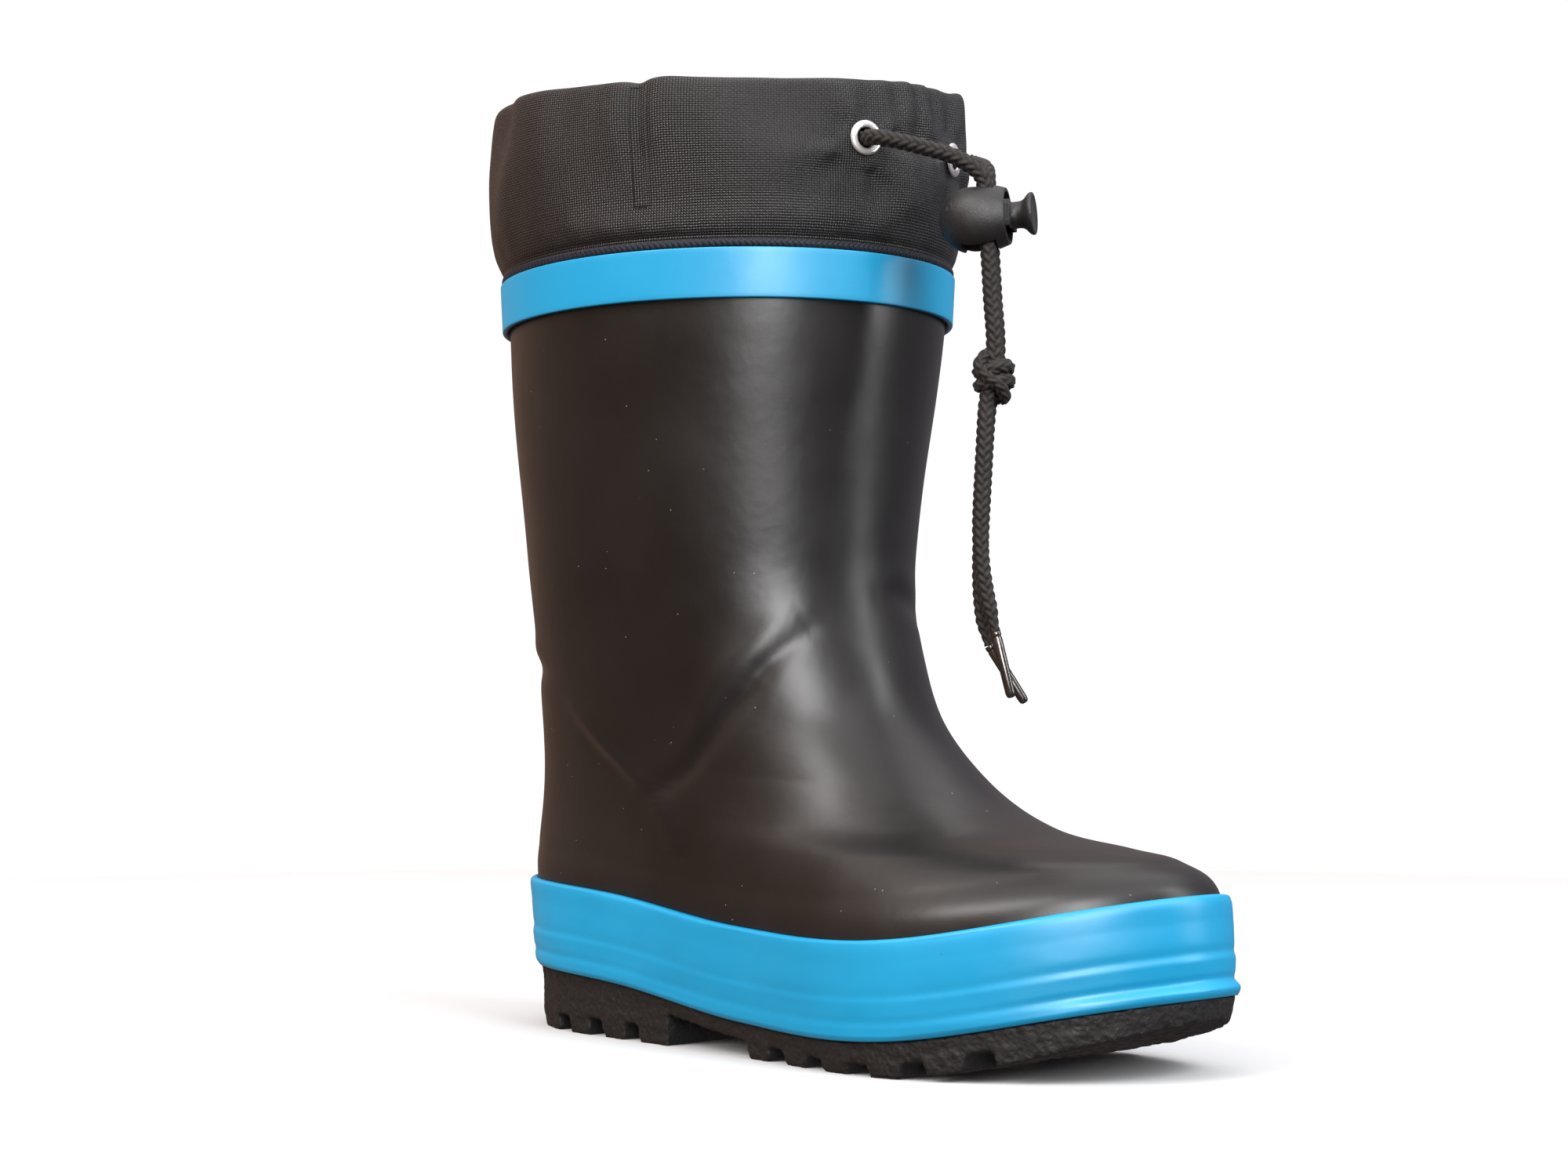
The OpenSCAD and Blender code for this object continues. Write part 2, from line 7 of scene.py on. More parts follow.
# %% Load the measured model
import itertools
import json
import math
import bmesh
import bpy
import numpy as np
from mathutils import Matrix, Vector


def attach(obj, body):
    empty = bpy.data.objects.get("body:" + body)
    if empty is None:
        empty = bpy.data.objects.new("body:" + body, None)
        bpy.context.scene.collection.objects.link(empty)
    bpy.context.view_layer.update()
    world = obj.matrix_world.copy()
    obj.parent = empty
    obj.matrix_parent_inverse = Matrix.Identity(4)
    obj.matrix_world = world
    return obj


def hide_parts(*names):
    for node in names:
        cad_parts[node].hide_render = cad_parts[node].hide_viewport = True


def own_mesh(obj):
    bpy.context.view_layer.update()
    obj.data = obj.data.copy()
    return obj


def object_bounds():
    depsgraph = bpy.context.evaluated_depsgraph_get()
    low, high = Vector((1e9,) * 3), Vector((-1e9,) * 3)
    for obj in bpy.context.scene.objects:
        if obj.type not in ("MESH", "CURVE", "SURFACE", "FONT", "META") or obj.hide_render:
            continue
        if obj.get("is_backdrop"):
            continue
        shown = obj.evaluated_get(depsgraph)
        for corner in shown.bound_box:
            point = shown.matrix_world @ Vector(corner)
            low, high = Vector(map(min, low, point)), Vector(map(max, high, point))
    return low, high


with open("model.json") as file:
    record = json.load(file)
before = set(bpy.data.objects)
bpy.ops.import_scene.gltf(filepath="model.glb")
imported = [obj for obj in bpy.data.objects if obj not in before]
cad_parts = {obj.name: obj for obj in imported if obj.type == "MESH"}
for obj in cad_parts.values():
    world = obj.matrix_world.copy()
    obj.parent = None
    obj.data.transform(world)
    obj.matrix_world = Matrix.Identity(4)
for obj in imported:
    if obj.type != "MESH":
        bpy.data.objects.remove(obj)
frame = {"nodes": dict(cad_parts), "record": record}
cad_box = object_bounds()
print("measured model:", [[round(v, 4) for v in corner] for corner in cad_box])

# %% [markdown]
# ## The camera
# A product shot of a boot is taken low, a little above the ankle, so that the leg stands tall.
# The camera looks across the outer side of the toe. Its lens is slightly long, as for any
# small object, so that the toe isn't blown up. The camera comes first because it decides how
# fine the detail of every piece has to be.

# %% Place the camera
scene = bpy.context.scene
camera = bpy.data.objects.new("camera", bpy.data.cameras.new("camera"))
scene.collection.objects.link(camera)
camera.location = (-0.4924, -0.4656, 0.0807)
CAMERA_TURN = math.radians(-45.39)
camera.rotation_euler = (math.radians(93.18), 0, CAMERA_TURN)
camera.data.lens = 60.74
camera.data.sensor_width = 36
scene.camera = camera
scene.view_settings.view_transform = "Standard"
TO_RIGHT = np.array([math.cos(CAMERA_TURN), math.sin(CAMERA_TURN), 0])
TO_CAMERA = np.array([math.sin(CAMERA_TURN), -math.cos(CAMERA_TURN), 0])
print("camera at", tuple(round(v, 3) for v in camera.location))

# %% [markdown]
# ## Curves and meshes
# The boot is described in millimetres and Blender works in metres, so one number turns one
# into the other. Nearly every piece of a boot is a stack of rings: a closed line round the
# leg, repeated up its height. So one helper makes a smooth curve through a few sizes, and
# two more join rings of points with four-sided faces: one leaves the ends open or joins them to
# each other, the other closes them. They can write a UV map in millimetres, which lets a
# cloth's weave follow the cloth.

# %% Helpers for curves
MM = 0.001


def smooth(values, t):
    """Smooth curve through evenly spaced values, at place t."""
    values = np.asarray(values, float)
    t = np.asarray(t, float)
    last = len(values) - 1
    i = np.clip(np.floor(t).astype(int), 0, last - 1)
    u = t - i
    b, c = values[i], values[i + 1]
    before, after = values[np.maximum(i - 1, 0)], values[np.minimum(i + 2, last)]
    if values.ndim > 1:
        i, u = i[..., None], u[..., None]
    a = np.where(i > 0, before, 2 * b - c)
    d = np.where(i < last - 1, after, 2 * c - b)
    bend, twist = 2 * a - 5 * b + 4 * c - d, 3 * b - 3 * c + d - a
    return 0.5 * (2 * b + (c - a) * u + bend * u**2 + twist * u**3)


def step_up(low, high, x):
    """0 below low, 1 above high, smooth between."""
    t = np.clip((np.asarray(x, float) - low) / (high - low), 0, 1)
    return t * t * (3 - 2 * t)


def lumps(points, size, seed):
    """Soft random hills between -1 and 1, each about size millimetres across."""
    lattice = np.random.default_rng(seed).uniform(-1, 1, (24, 24, 24))
    p = np.asarray(points) / size
    i = np.floor(p).astype(int)
    f = p - i
    f = f * f * (3 - 2 * f)
    total = np.zeros(p.shape[:-1])
    for corner in itertools.product((0, 1), repeat=3):
        share = np.prod(np.where(corner, f, 1 - f), axis=-1)
        x, y, z = np.moveaxis((i + corner) % 24, -1, 0)
        total += share * lattice[x, y, z]
    return total


# %% Helpers for meshes
def new_piece(name, points, faces, uv=None):
    """A piece from points in millimetres, its faces and a UV place for each face corner."""
    mesh = bpy.data.meshes.new(name)
    mesh.from_pydata((np.asarray(points, float) * MM).tolist(), [], faces)
    mesh.polygons.foreach_set("use_smooth", [True] * len(mesh.polygons))
    if uv is not None:
        mesh.uv_layers.new(name="cloth").data.foreach_set("uv", np.asarray(uv, float).ravel())
    mesh.update()
    made = bpy.data.objects.new(name, mesh)
    scene.collection.objects.link(made)
    return made


def ring_faces(m, n, hollow=False):
    """Four-sided faces between m rings of n points, with the ring and the point that each starts at."""
    i, j = np.meshgrid(np.arange(m if hollow else m - 1), np.arange(n), indexing="ij")
    here, above, beside = i * n, (i + 1) % m * n, (j + 1) % n
    faces = np.stack([here + j, here + beside, above + beside, above + j], -1)
    return i, j, faces.reshape(-1, 4).tolist()


def ring_piece(name, rings, hollow=True, uv=None):
    """Joins rings of points. A hollow piece's last ring meets its first again."""
    i, j, faces = ring_faces(*rings.shape[:2], hollow)
    if uv is not None:
        uv = np.stack([uv[i, j], uv[i, j + 1], uv[i + 1, j + 1], uv[i + 1, j]], -2)
    return new_piece(name, rings.reshape(-1, 3), faces, uv)


def closed_tube(name, rings, uv=None):
    """A tube with both its ends closed by a small fan. A UV place may be given for each point."""
    m, n = rings.shape[:2]
    faces, middle = ring_faces(m, n)[2], m * n
    faces += [[(k + 1) % n, k, middle] for k in range(n)]
    faces += [[(m - 1) * n + k, (m - 1) * n + (k + 1) % n, middle + 1] for k in range(n)]
    points = np.concatenate([rings.reshape(-1, 3), [rings[0].mean(0), rings[-1].mean(0)]])
    if uv is not None:
        places = np.concatenate([uv.reshape(-1, 2), [uv[0].mean(0), uv[-1].mean(0)]])
        uv = places[[corner for face in faces for corner in face]]
    return new_piece(name, points, faces, uv)


def set_relief(piece, values):
    """Stores how high each point stands, 0 to 1, for the finish to read: the finish paints the low places
    darker with it, a painted shade.
    """
    layer = piece.data.attributes.new("relief", "FLOAT", "POINT")
    layer.data.foreach_set("value", np.asarray(values, float).ravel())


# %% [markdown]
# ## The drawcord's route
# The cord is 4.2 mm thick. Each end comes out of an eyelet, swings forward, goes down through
# the lock and the knot, and hangs to its metal tip. A route is a short list of places. The
# lock leans a little on the strands, so the places inside it are given along the lock's own
# axes and turned into the boot's.

# %% Places along the cord
lock_at = np.array([3, -47.6, 206])
lock_yaw, lock_lean = math.radians(-60), math.radians(3)
strand_gap = 2.25
cord_r = 2.1
TIP_R, TIP_LENGTH = 1.3, 16.5


def in_lock(x, y, z):
    """A place given along the lock's axes: x along its button, z up the strands."""
    leaned = x * math.cos(lock_lean) - z * math.sin(lock_lean)
    high = x * math.sin(lock_lean) + z * math.cos(lock_lean)
    turn, side = math.cos(lock_yaw), math.sin(lock_yaw)
    return lock_at + [leaned * turn - y * side, leaned * side + y * turn, high]


def strand(side):
    return [in_lock(0, side * strand_gap, z) for z in (7.5, 0, -9, -20, -33)]


route_right = [[-14.7, -22.3, 227], [-15.4, -25.4, 226.8], [-15, -29.2, 226], [-12.6, -33.8, 224.6],
               [-9, -38.4, 222.9], [-4.9, -43.2, 220.9], [-0.9, -47.3, 217.3], *strand(-1)]
route_left = [[19.5, -20.1, 227], [20.7, -23.3, 226.7], [20.5, -26.8, 225.7], [18.6, -30.5, 224.3],
              [15.6, -34.2, 223], [12, -38.4, 221.5], [8.6, -42.3, 219.8], [6, -44.9, 217.4], *strand(1)]
tail_right = [[1.2, -48.6, 161], [0.4, -48.7, 157], [-0.1, -48.6, 150], [-0.5, -48.2, 140],
              [-0.8, -47.9, 130], [-0.6, -48.1, 121], [0.2, -48.9, 113], [1, -49.7, 108],
              [1.7, -50.4, 103.8]]
tail_left = [[4.5, -46.6, 161], [4.1, -46.2, 157], [3.9, -45.7, 150], [3.5, -45.3, 140],
             [3.1, -44.9, 130], [2.9, -44.7, 121], [3, -44.8, 113], [3.5, -45.4, 106],
             [4.3, -46.3, 100.6]]
tip_right_end, tip_left_end = [4.4, -53.2, 87.6], [10.5, -52.6, 86.4]
knot_at = in_lock(-0.8, 0, -39.2)
print("lock at", lock_at, "knot at", knot_at.round(1))

# %% [markdown]
# ## Braided cord
# A braid is a tube of yarns: half wind one way, half the other, and each passes over two and
# under two. A round bevelled curve would be smooth, with only a painted braid. Here the tube
# is a mesh whose points rise where a yarn lies on top, so the edge of the cord is bumpy too,
# as it is on a real one. The frame that the tube is drawn in is carried along the route
# without twisting.

# %% Helpers for tubes
def even_path(places, step):
    """Points every step millimetres along a smooth curve through the places."""
    fine = smooth(places, np.linspace(0, len(places) - 1, len(places) * 40))
    far = np.concatenate([[0], np.cumsum(np.linalg.norm(np.diff(fine, axis=0), axis=1))])
    wanted = np.linspace(0, far[-1], max(2, int(round(far[-1] / step)) + 1))
    return np.stack([np.interp(wanted, far, fine[:, k]) for k in range(fine.shape[1])], 1), wanted


def tube_points(path, radius, sides):
    """Rings of points round a path; radius is one number for each point of each ring."""
    along = np.gradient(path, axis=0)
    along /= np.linalg.norm(along, axis=1)[:, None]
    side = np.cross(along[0], [0.3, 0.9, 0.2])
    across = []
    for direction in along:
        side = side - direction * np.dot(side, direction)
        side = side / np.linalg.norm(side)
        across.append(side)
    across = np.array(across)
    other = np.cross(along, across)
    turn = np.arange(sides) * 2 * np.pi / sides
    round_it = across[:, None] * np.cos(turn)[:, None] + other[:, None] * np.sin(turn)[:, None]
    return path[:, None] + round_it * radius[..., None]


def braid(turn, far, yarns, pitch):
    """How high the braid stands, 0 to 1, at a turn round the cord and a distance along it."""
    a = yarns * turn + far / pitch
    b = yarns * turn - far / pitch
    which = (np.floor(a) + np.floor(b)) % 4
    fa, fb = a % 1, b % 1
    first = np.sin(np.pi * fa) ** 0.7 * (0.55 + 0.45 * np.sin(np.pi * (fb + which) / 2))
    second = np.sin(np.pi * fb) ** 0.7 * (0.55 + 0.45 * np.sin(np.pi * (fa + which - 2) / 2))
    return np.clip(np.where(which < 2, first, second), 0, 1)


BRAID_YARNS, BRAID_PITCH, BRAID_RELIEF = 6, 2.2, 0.62


def braided_cord(name, places, radius, step=0.28, sides=48, narrow_to=None, ends=0.0):
    """A braided cord along the places. It may narrow at its end, into a tip."""
    path, far = even_path(places, step)
    turn = np.arange(sides) / sides
    high = braid(turn[None], far[:, None], BRAID_YARNS, BRAID_PITCH)
    thick = np.full(len(path), float(radius))
    if narrow_to:
        thick = radius + (narrow_to - radius) * step_up(far[-1] - 7, far[-1] - 0.5, far)
    if ends:
        thick = thick * (0.35 + 0.65 * np.sqrt(np.clip(np.minimum(far, far[-1] - far) / ends, 0, 1)))
    thick = thick[:, None]
    made = closed_tube(name, tube_points(path, thick - BRAID_RELIEF * (1 - high) * thick / radius, sides))
    set_relief(made, np.concatenate([high.ravel(), [0.5, 0.5]]))
    return made, path, far[-1]


# %% [markdown]
# ## The two ends of the drawcord
# Each end is one piece of cord from its eyelet to its tip, through the lock and the knot.
# Its length is measured along the middle of the cord, and the far end is the metal tip.

# %% Make the cord ends
cord_right, path_right, length_right = braided_cord(
    "drawcord_right", route_right + tail_right, cord_r, narrow_to=TIP_R)
cord_left, path_left, length_left = braided_cord(
    "drawcord_left", route_left + tail_left, cord_r, narrow_to=TIP_R)
print("cord from eyelet to tip: right", round(length_right, 1), "mm, left", round(length_left, 1), "mm")

# %% [markdown]
# ## The knot
# Both strands are tied together in one overhand knot, so that the lock can't slide off.
# A tight knot in soft cord shows as a few fat, slanting turns with one turn passing over them.
# It could be simulated, but a tight knot is quicker to lay out one by one: the turns are one short
# piece of the same braid on a slanting spiral, and a second piece crosses over them.

# %% Tie the knot
def round_knot(places):
    """Places given from the knot's middle: to its right, to its front and up the strands."""
    up = in_lock(0, 0, 1) - in_lock(0, 0, 0)
    front = np.cross(TO_RIGHT, up)
    return [knot_at + TO_RIGHT * p[0] + front * p[1] + up * p[2] for p in places]


def spiral(start, stop, count, reach, z0, z1, tilt):
    """A slanting spiral round the knot's middle; angles in degrees, 0 is its right."""
    made = []
    for k in range(count):
        share = k / (count - 1)
        a = math.radians(start + (stop - start) * share)
        z = z0 + (z1 - z0) * share + tilt * math.cos(a)
        made.append((reach * math.cos(a), -reach * math.sin(a), z))
    return made


turns = spiral(60, 780, 32, 3.5, 3.5, -3.4, 1.4)
turns = [(-1.2, -0.6, 6.6), (0.6, -2.6, 5.6), *turns, (0.8, 0.4, -6.6)]
over = [(1.8, 0.8, 6.4), (-1.5, 2.4, 5.0), (-3.6, 3.4, 2.2), (-2.2, 4.2, -0.6), (0.8, 4.0, -2.9),
        (2.2, 1.8, -5.4), (1.6, -0.4, -6.6)]
knot, _, _ = braided_cord("knot_turns", round_knot(turns), 1.95, sides=40, ends=3)
knot_over, _, _ = braided_cord("knot_crossing", round_knot(over), 1.75, sides=40, ends=3)

# %% Make the cord inside the cuff
def eyelet_angle(side):
    return 2.5 + side * 17


LEG_MIDDLE = 42.2


def oval(angle, z, out):
    """The leg's top: a place at an angle (0 front, 90 inner side), a height and a distance out."""
    angle, z, out = np.broadcast_arrays(np.radians(angle), z, out)
    grow = (z - 188) * 0.05
    x = (54.4 + grow + out) * np.sin(angle)
    return np.stack([x, LEG_MIDDLE - (62.15 + grow + out) * np.cos(angle), z], -1)


EYELET_Z = 227
CUFF_FACE = 3.3
inside_turn = np.linspace(eyelet_angle(1) + 3, 357 + eyelet_angle(-1), 37)
cord_inside, _, length_inside = braided_cord(
    "drawcord_in_casing", oval(inside_turn, EYELET_Z, CUFF_FACE - 3.5), cord_r - 0.1, step=0.55,
    sides=24)
print("cord inside the cuff:", round(length_inside), "mm")

# %% [markdown]
# ## The boot's skin
# A rubber boot is dipped or laid up on a last, a solid form of the foot and leg. Its skin is
# thirteen outlines from the sole to the top of the leg. Each has a front, a back, a width and
# a shape: foot-shaped near the sole, oval up the leg. A place on the skin is a row (0 sole,
# 12 top) and an angle (0 toe, 90 inner side, 180 heel). One function serves every layer of the
# boot, because a layer is only the same skin moved out or in.

# %% The outlines of the skin
# y and z of the front, y and z of the back, half width, shape (0 sole, 1 instep, 2 leg), dip
SKIN_ROWS = [
    [-104.6, 19.1, 100.2, 17.5, 38.8, 0.0, 1.00], [-105.2, 42.0, 104.5, 40.5, 40.5, 0.1, 1.00],
    [-95.5, 49.5, 105.0, 50.0, 38.5, 0.3, 0.80], [-82.0, 52.0, 104.5, 60.0, 36.5, 0.6, 0.45],
    [-61.5, 55.5, 104.0, 68.0, 35.0, 0.9, 0.20], [-41.0, 65.0, 102.5, 77.0, 35.5, 1.0, 0.00],
    [-23.5, 81.0, 100.2, 88.0, 38.5, 1.2, 0.00], [-15.2, 100.0, 98.6, 100.0, 42.5, 1.6, 0.00],
    [-12.4, 116.0, 99.5, 114.0, 45.6, 1.9, 0.00], [-13.0, 132.0, 101.3, 130.0, 47.8, 2.0, 0.00],
    [-15.7, 158.0, 103.0, 158.0, 51.5, 2.0, 0.00], [-19.8, 186.0, 104.3, 186.0, 54.3, 2.0, 0.00],
    [-20.0, 194.0, 104.4, 194.0, 54.4, 2.0, 0.00]]
# Each shape has five stations from toe to heel: width factors, and the middle's sideways shift
WIDTHS = [[1.38, 1.13, 0.84, 0.84, 1.29], [1.15, 1.00, 0.97, 1.00, 1.15], [1, 1, 1, 1, 1]]
SHIFTS = [[9, -1, -2.3, -2.2, 0.5], [4, 0, -1.5, -1.5, 0], [0, 0, 0, 0, 0]]
DIP = [0, -9.8, -9.2, -3.1, 0]
PLATE = [3.6, 5.2, 4.6, 3.9, 4.0]
TOP_ROW = 12


def station(values, s):
    """Value at station s: 1 is the toe and -1 the heel."""
    return smooth(values, 2 - 2 * s)


def shaped(table, shape, s):
    three = np.stack([station(row, s) for row in table])
    low = np.minimum(np.floor(shape).astype(int), 1)
    a = np.take_along_axis(three, low[None], 0)[0]
    b = np.take_along_axis(three, low[None] + 1, 0)[0]
    return a + (b - a) * (shape - low)


def skin_place(row, angle):
    row, angle = np.broadcast_arrays(np.asarray(row, float), np.radians(angle))
    front_y, front_z, back_y, back_z, half, shape, dip = np.moveaxis(smooth(SKIN_ROWS, row), -1, 0)
    s, shape = np.cos(angle), np.clip(shape, 0, 2)
    q = (1 - s) / 2
    x = shaped(SHIFTS, shape, s) + half * shaped(WIDTHS, shape, s) * np.sin(angle)
    y = front_y + (back_y - front_y) * q
    z = front_z + (back_z - front_z) * q + dip * station(DIP, s)
    return np.stack([x, y, z], -1)


def skin_out(row, angle):
    """The direction straight out of the skin."""
    row, angle = np.broadcast_arrays(np.asarray(row, float), np.asarray(angle, float))
    along = skin_place(row, angle + 2) - skin_place(row, angle - 2)
    up = skin_place(np.minimum(row + 0.05, TOP_ROW), angle) - skin_place(np.maximum(row - 0.05, 0), angle)
    out = np.cross(along, up)
    return out / np.linalg.norm(out, axis=-1)[..., None]


def skin(row, angle, out):
    return skin_place(row, angle) + skin_out(row, angle) * np.asarray(out, float)[..., None]


print("length of the last:", round(float(skin_place(0, 180)[1] - skin_place(0, 0)[1]), 1), "mm")

# %% [markdown]
# ## The rubber leg and foot
# The black rubber is one smooth skin, 1.6 mm thick. What makes it rubber to the eye is where
# it has bent: the ankle of a boot folds as it is handled, and keeps soft creases. On the outer
# side two creases meet in a V. They are pressed into the mesh rather than painted, because
# soft light runs along the edges of a real crease. Each crease is a line of places, a depth
# and a width, and points near the line move in, or out for the rolled edge beside it.

# %% Creases of the ankle
# row and angle of places along the crease, depth in (a minus sign is a ridge), width
CREASES = [
    ([(4.37, -95), (4.93, -83), (5.53, -71), (6.03, -60), (6.39, -51), (6.75, -43), (7.27, -27)], 0.8, 2.6),
    ([(4.2, -98), (4.93, -83), (5.53, -71), (6.03, -60), (6.39, -51), (6.65, -45)], 0.9, 2.9),
    ([(5.3, -80), (5.9, -69), (6.55, -58), (6.95, -47), (7.35, -36), (7.6, -27)], -0.9, 4.0),
    ([(5.95, -112), (5.53, -107.5), (4.97, -101.5), (4.59, -98), (4.37, -95)], -1.1, 2.8),
    ([(5.6, -114), (5.1, -108.5), (4.7, -104), (4.3, -100)], 0.5, 3.4),
    ([(4.37, -95), (3.95, -97), (3.17, -98.5), (2.46, -100.5)], -0.7, 4.5),
    ([(7.9, 2), (7.85, 14), (7.7, 28), (7.5, 42)], 0.9, 3.6),
    ([(8.25, 4), (8.2, 16), (8.05, 30)], -0.5, 4.0),
    ([(6.7, -124), (6.75, -138), (6.7, -150), (6.6, -162)], 0.9, 3.2),
    ([(7.1, -126), (7.15, -140), (7.1, -154)], -0.5, 3.6),
    ([(4.6, 92), (5.1, 82), (5.7, 72), (6.2, 60), (6.6, 50), (7.0, 38)], 1.1, 2.8),
    ([(5.9, 113), (5.3, 105), (4.6, 92)], 0.6, 2.6),
    ([(6.9, 58), (7.3, 46), (7.6, 36)], -0.5, 3.2),
    ([(6.7, 130), (6.75, 144), (6.65, 158)], 0.6, 3.4)]


def dent(points, creases):
    """How far each point moves in."""
    total = np.zeros(points.shape[:-1])
    for places, depth, width in creases:
        line, _ = even_path(skin_place(*np.transpose(places)), 1.5)
        gap = np.linalg.norm(points[..., None, :] - line, axis=-1)
        fade = np.sin(np.pi * np.clip(np.argmin(gap, -1) / (len(line) - 1), 0.03, 0.97)) ** 0.6
        total += depth * fade * np.exp(-((np.min(gap, -1) / width) ** 2))
    return total


# %% Make the rubber leg and foot
ROUND = 288
round_angles = np.arange(ROUND) * 360 / ROUND


def upper_rings(rows, out):
    rows, angles = np.meshgrid(rows, round_angles, indexing="ij")
    points = skin(rows, angles, np.full(rows.shape, float(out)))
    sink = np.zeros(rows.shape)
    ankle = (rows[:, 0] > 2.5) & (rows[:, 0] < 10)
    if ankle.any():
        sink[ankle] = dent(points[ankle], CREASES)
    soft = lumps(points, 34, 3) * 0.35 + lumps(points, 15, 4) * 0.1
    soft = soft * step_up(1.2, 3, rows) * (1 - step_up(10.6, 11.3, rows))
    return points + skin_out(rows, angles) * (soft - sink)[..., None]


outer = upper_rings(np.concatenate([np.linspace(0, 1, 12)[:-1], np.linspace(1, TOP_ROW, 190)]), 0)
inner = upper_rings(np.linspace(TOP_ROW, 0, 80), -1.6)
rubber = ring_piece("rubber_leg_and_foot", np.concatenate([outer, inner]))
print("rubber skin:", len(rubber.data.vertices), "points")

# %% [markdown]
# ## The foxing
# The foxing is the strip of coloured rubber that wraps the joint between the upper and the
# sole. It has a rolled bead at the bottom, a step above it that is deepest at the toe and the
# heel, and a thin top lip. A profile, a list of heights with the strip's thickness at each,
# is swept round the skin. The corners are rounded by using many more points than the list.

# %% Make the foxing
# row of the skin, thickness
FOXING = [[0, 2.9], [0.05, 3.5], [0.13, 3.45], [0.18, 2.95], [0.24, 3.3], [0.37, 3.3],
          [0.42, 2.65], [0.5, 2.75], [0.72, 2.35], [0.9, 2.35], [0.97, 2.1], [1, 1.5]]


def toe_flare(angle):
    return 1.5 * np.maximum(0, (np.cos(np.radians(angle)) - 0.8) / 0.2)


def soft_profile(profile, count, blur):
    """A profile with many points and its corners rounded."""
    place = np.linspace(profile[0][0], profile[-1][0], count)
    thick = np.interp(place, *np.transpose(profile))
    kernel = np.exp(-(np.arange(-6, 7) / blur) ** 2)
    padded = np.pad(thick, 6, mode="reflect", reflect_type="odd")
    return place, np.convolve(padded, kernel / kernel.sum(), "valid")


foxing_rows, foxing_thick = soft_profile(FOXING, 76, 1.6)
foxing_thick[-2:] -= [0.1, 0.45]
rows, angles = np.meshgrid(foxing_rows, round_angles, indexing="ij")
# along the sides the step is shallower and wanders a little
side_share = 1 - np.abs(np.cos(np.radians(angles))) ** 3
plain = np.interp(rows, [0, 0.05, 0.16, 0.22, 0.45, 0.75, 0.97, 1],
                  [2.9, 3.45, 3.3, 3.15, 2.95, 2.4, 2.1, 1.5])
thick = foxing_thick[:, None] + (plain - foxing_thick[:, None]) * side_share * 0.72
thick = thick + toe_flare(angles) * (1 - step_up(0.09, 0.17, rows))
points = skin(rows, angles, thick)
uneven = lumps(points * [1, 1, 3], 22, 11) * 0.22 + lumps(points * [1, 1, 2], 9, 12) * 0.07
thick = thick + uneven * step_up(0, 0.1, rows) * (1 - step_up(0.93, 1, rows))
outer = skin(rows, angles, thick)
inner = skin(*np.meshgrid([1, 0.67, 0.33, 0], round_angles, indexing="ij"), np.full((4, ROUND), 0.12))
foxing = ring_piece("foxing_strip", np.concatenate([outer, inner]))

# %% [markdown]
# ## The outsole
# The outsole is a black rubber plate with lugs: a heel block cut by grooves, rows of forefoot
# lugs split down the middle, and a toe left smooth where it turns up. Its sides are rough from
# the mould. The slabs are built one by one along the sole's edge and melted into one solid by
# a voxel remesh, which also rounds the edges as rubber does. The roughness comes after it.

# %% Slabs of the outsole
TOE_TIP, HEEL_TIP, HEEL_BREAST, TOE_START = -106.6, 102.2, 29.5, -50
PITCH, GROOVE, HEEL_GROOVE, EDGE = 15, 5, 4.5, 2.2


def edge_angle(y):
    front, back = SKIN_ROWS[0][0] - EDGE, SKIN_ROWS[0][2] + EDGE
    return math.degrees(math.acos(max(-1, min(1, 1 - 2 * (y - front) / (back - front)))))


def plate_top(a):
    return skin_place(0, a)[..., 2] - 0.2


def plate_low(a):
    return plate_top(a) - station(PLATE, np.cos(np.radians(a)))


def ground(a):
    y = skin(0, a, np.full(np.shape(a), EDGE))[..., 1]
    return np.where(y > TOE_START, 0, 14 * (np.maximum(0, TOE_START - y) / 58) ** 1.6)


def slab(y0, y1, top, low, out_top, out_low, side0=0, side1=1, taper=0.0, steps=14):
    """Corners of a slab across the sole, between two places along it."""
    a = np.linspace(edge_angle(y0), edge_angle(y1), steps + 1)
    b = np.linspace(edge_angle(y0) + taper, edge_angle(y1) - taper, steps + 1)
    corners = []
    upper, lower = (a, out_top, top(a), (side0, side1)), (b, out_low, low(b), (side1, side0))
    for angle, out, height, sides in (upper, lower):
        right = skin(0, -angle, out + toe_flare(angle))
        left = skin(0, angle, out + toe_flare(angle))
        for share in sides:
            place = right + (left - right) * share
            place[:, 2] = height
            corners.append(place)
    return np.stack(corners, 1)


def flat(value):
    return lambda a: np.full(np.shape(a), float(value))


def root(by):
    """The underside of the plate, raised, so that a lug starts inside it."""
    return lambda a: plate_low(a) + by


def lug(i, top, low, out_top, out_low, *sides):
    """A slab from groove to groove; lug i starts i pitches behind the middle of the boot."""
    return slab(i * PITCH + GROOVE / 2, (i + 1) * PITCH - GROOVE / 2, top, low, out_top, out_low, *sides)


slabs = [slab(TOE_TIP, HEEL_TIP, plate_top, plate_low, EDGE, EDGE - 0.8, steps=90),
         slab(HEEL_BREAST, HEEL_TIP, root(0.6), flat(HEEL_GROOVE), EDGE - 0.6, EDGE - 0.9, steps=40),
         slab(TOE_TIP, -5 * PITCH - GROOVE / 2, root(0.8), ground, EDGE - 0.5, EDGE - 1.3, taper=0.6)]
for i in range(2, 6):
    start = HEEL_BREAST if i == 2 else i * PITCH + GROOVE / 2
    stop = HEEL_TIP if i == 5 else (i + 1) * PITCH - GROOVE / 2
    for side0, side1 in ([(0, 1)] if i == 5 else [(0, 0.42), (0.58, 1)]):
        slabs.append(slab(start, stop, flat(HEEL_GROOVE + 0.5), flat(0), EDGE - 0.9, EDGE - 1.5,
                          side0, side1, 0.5))
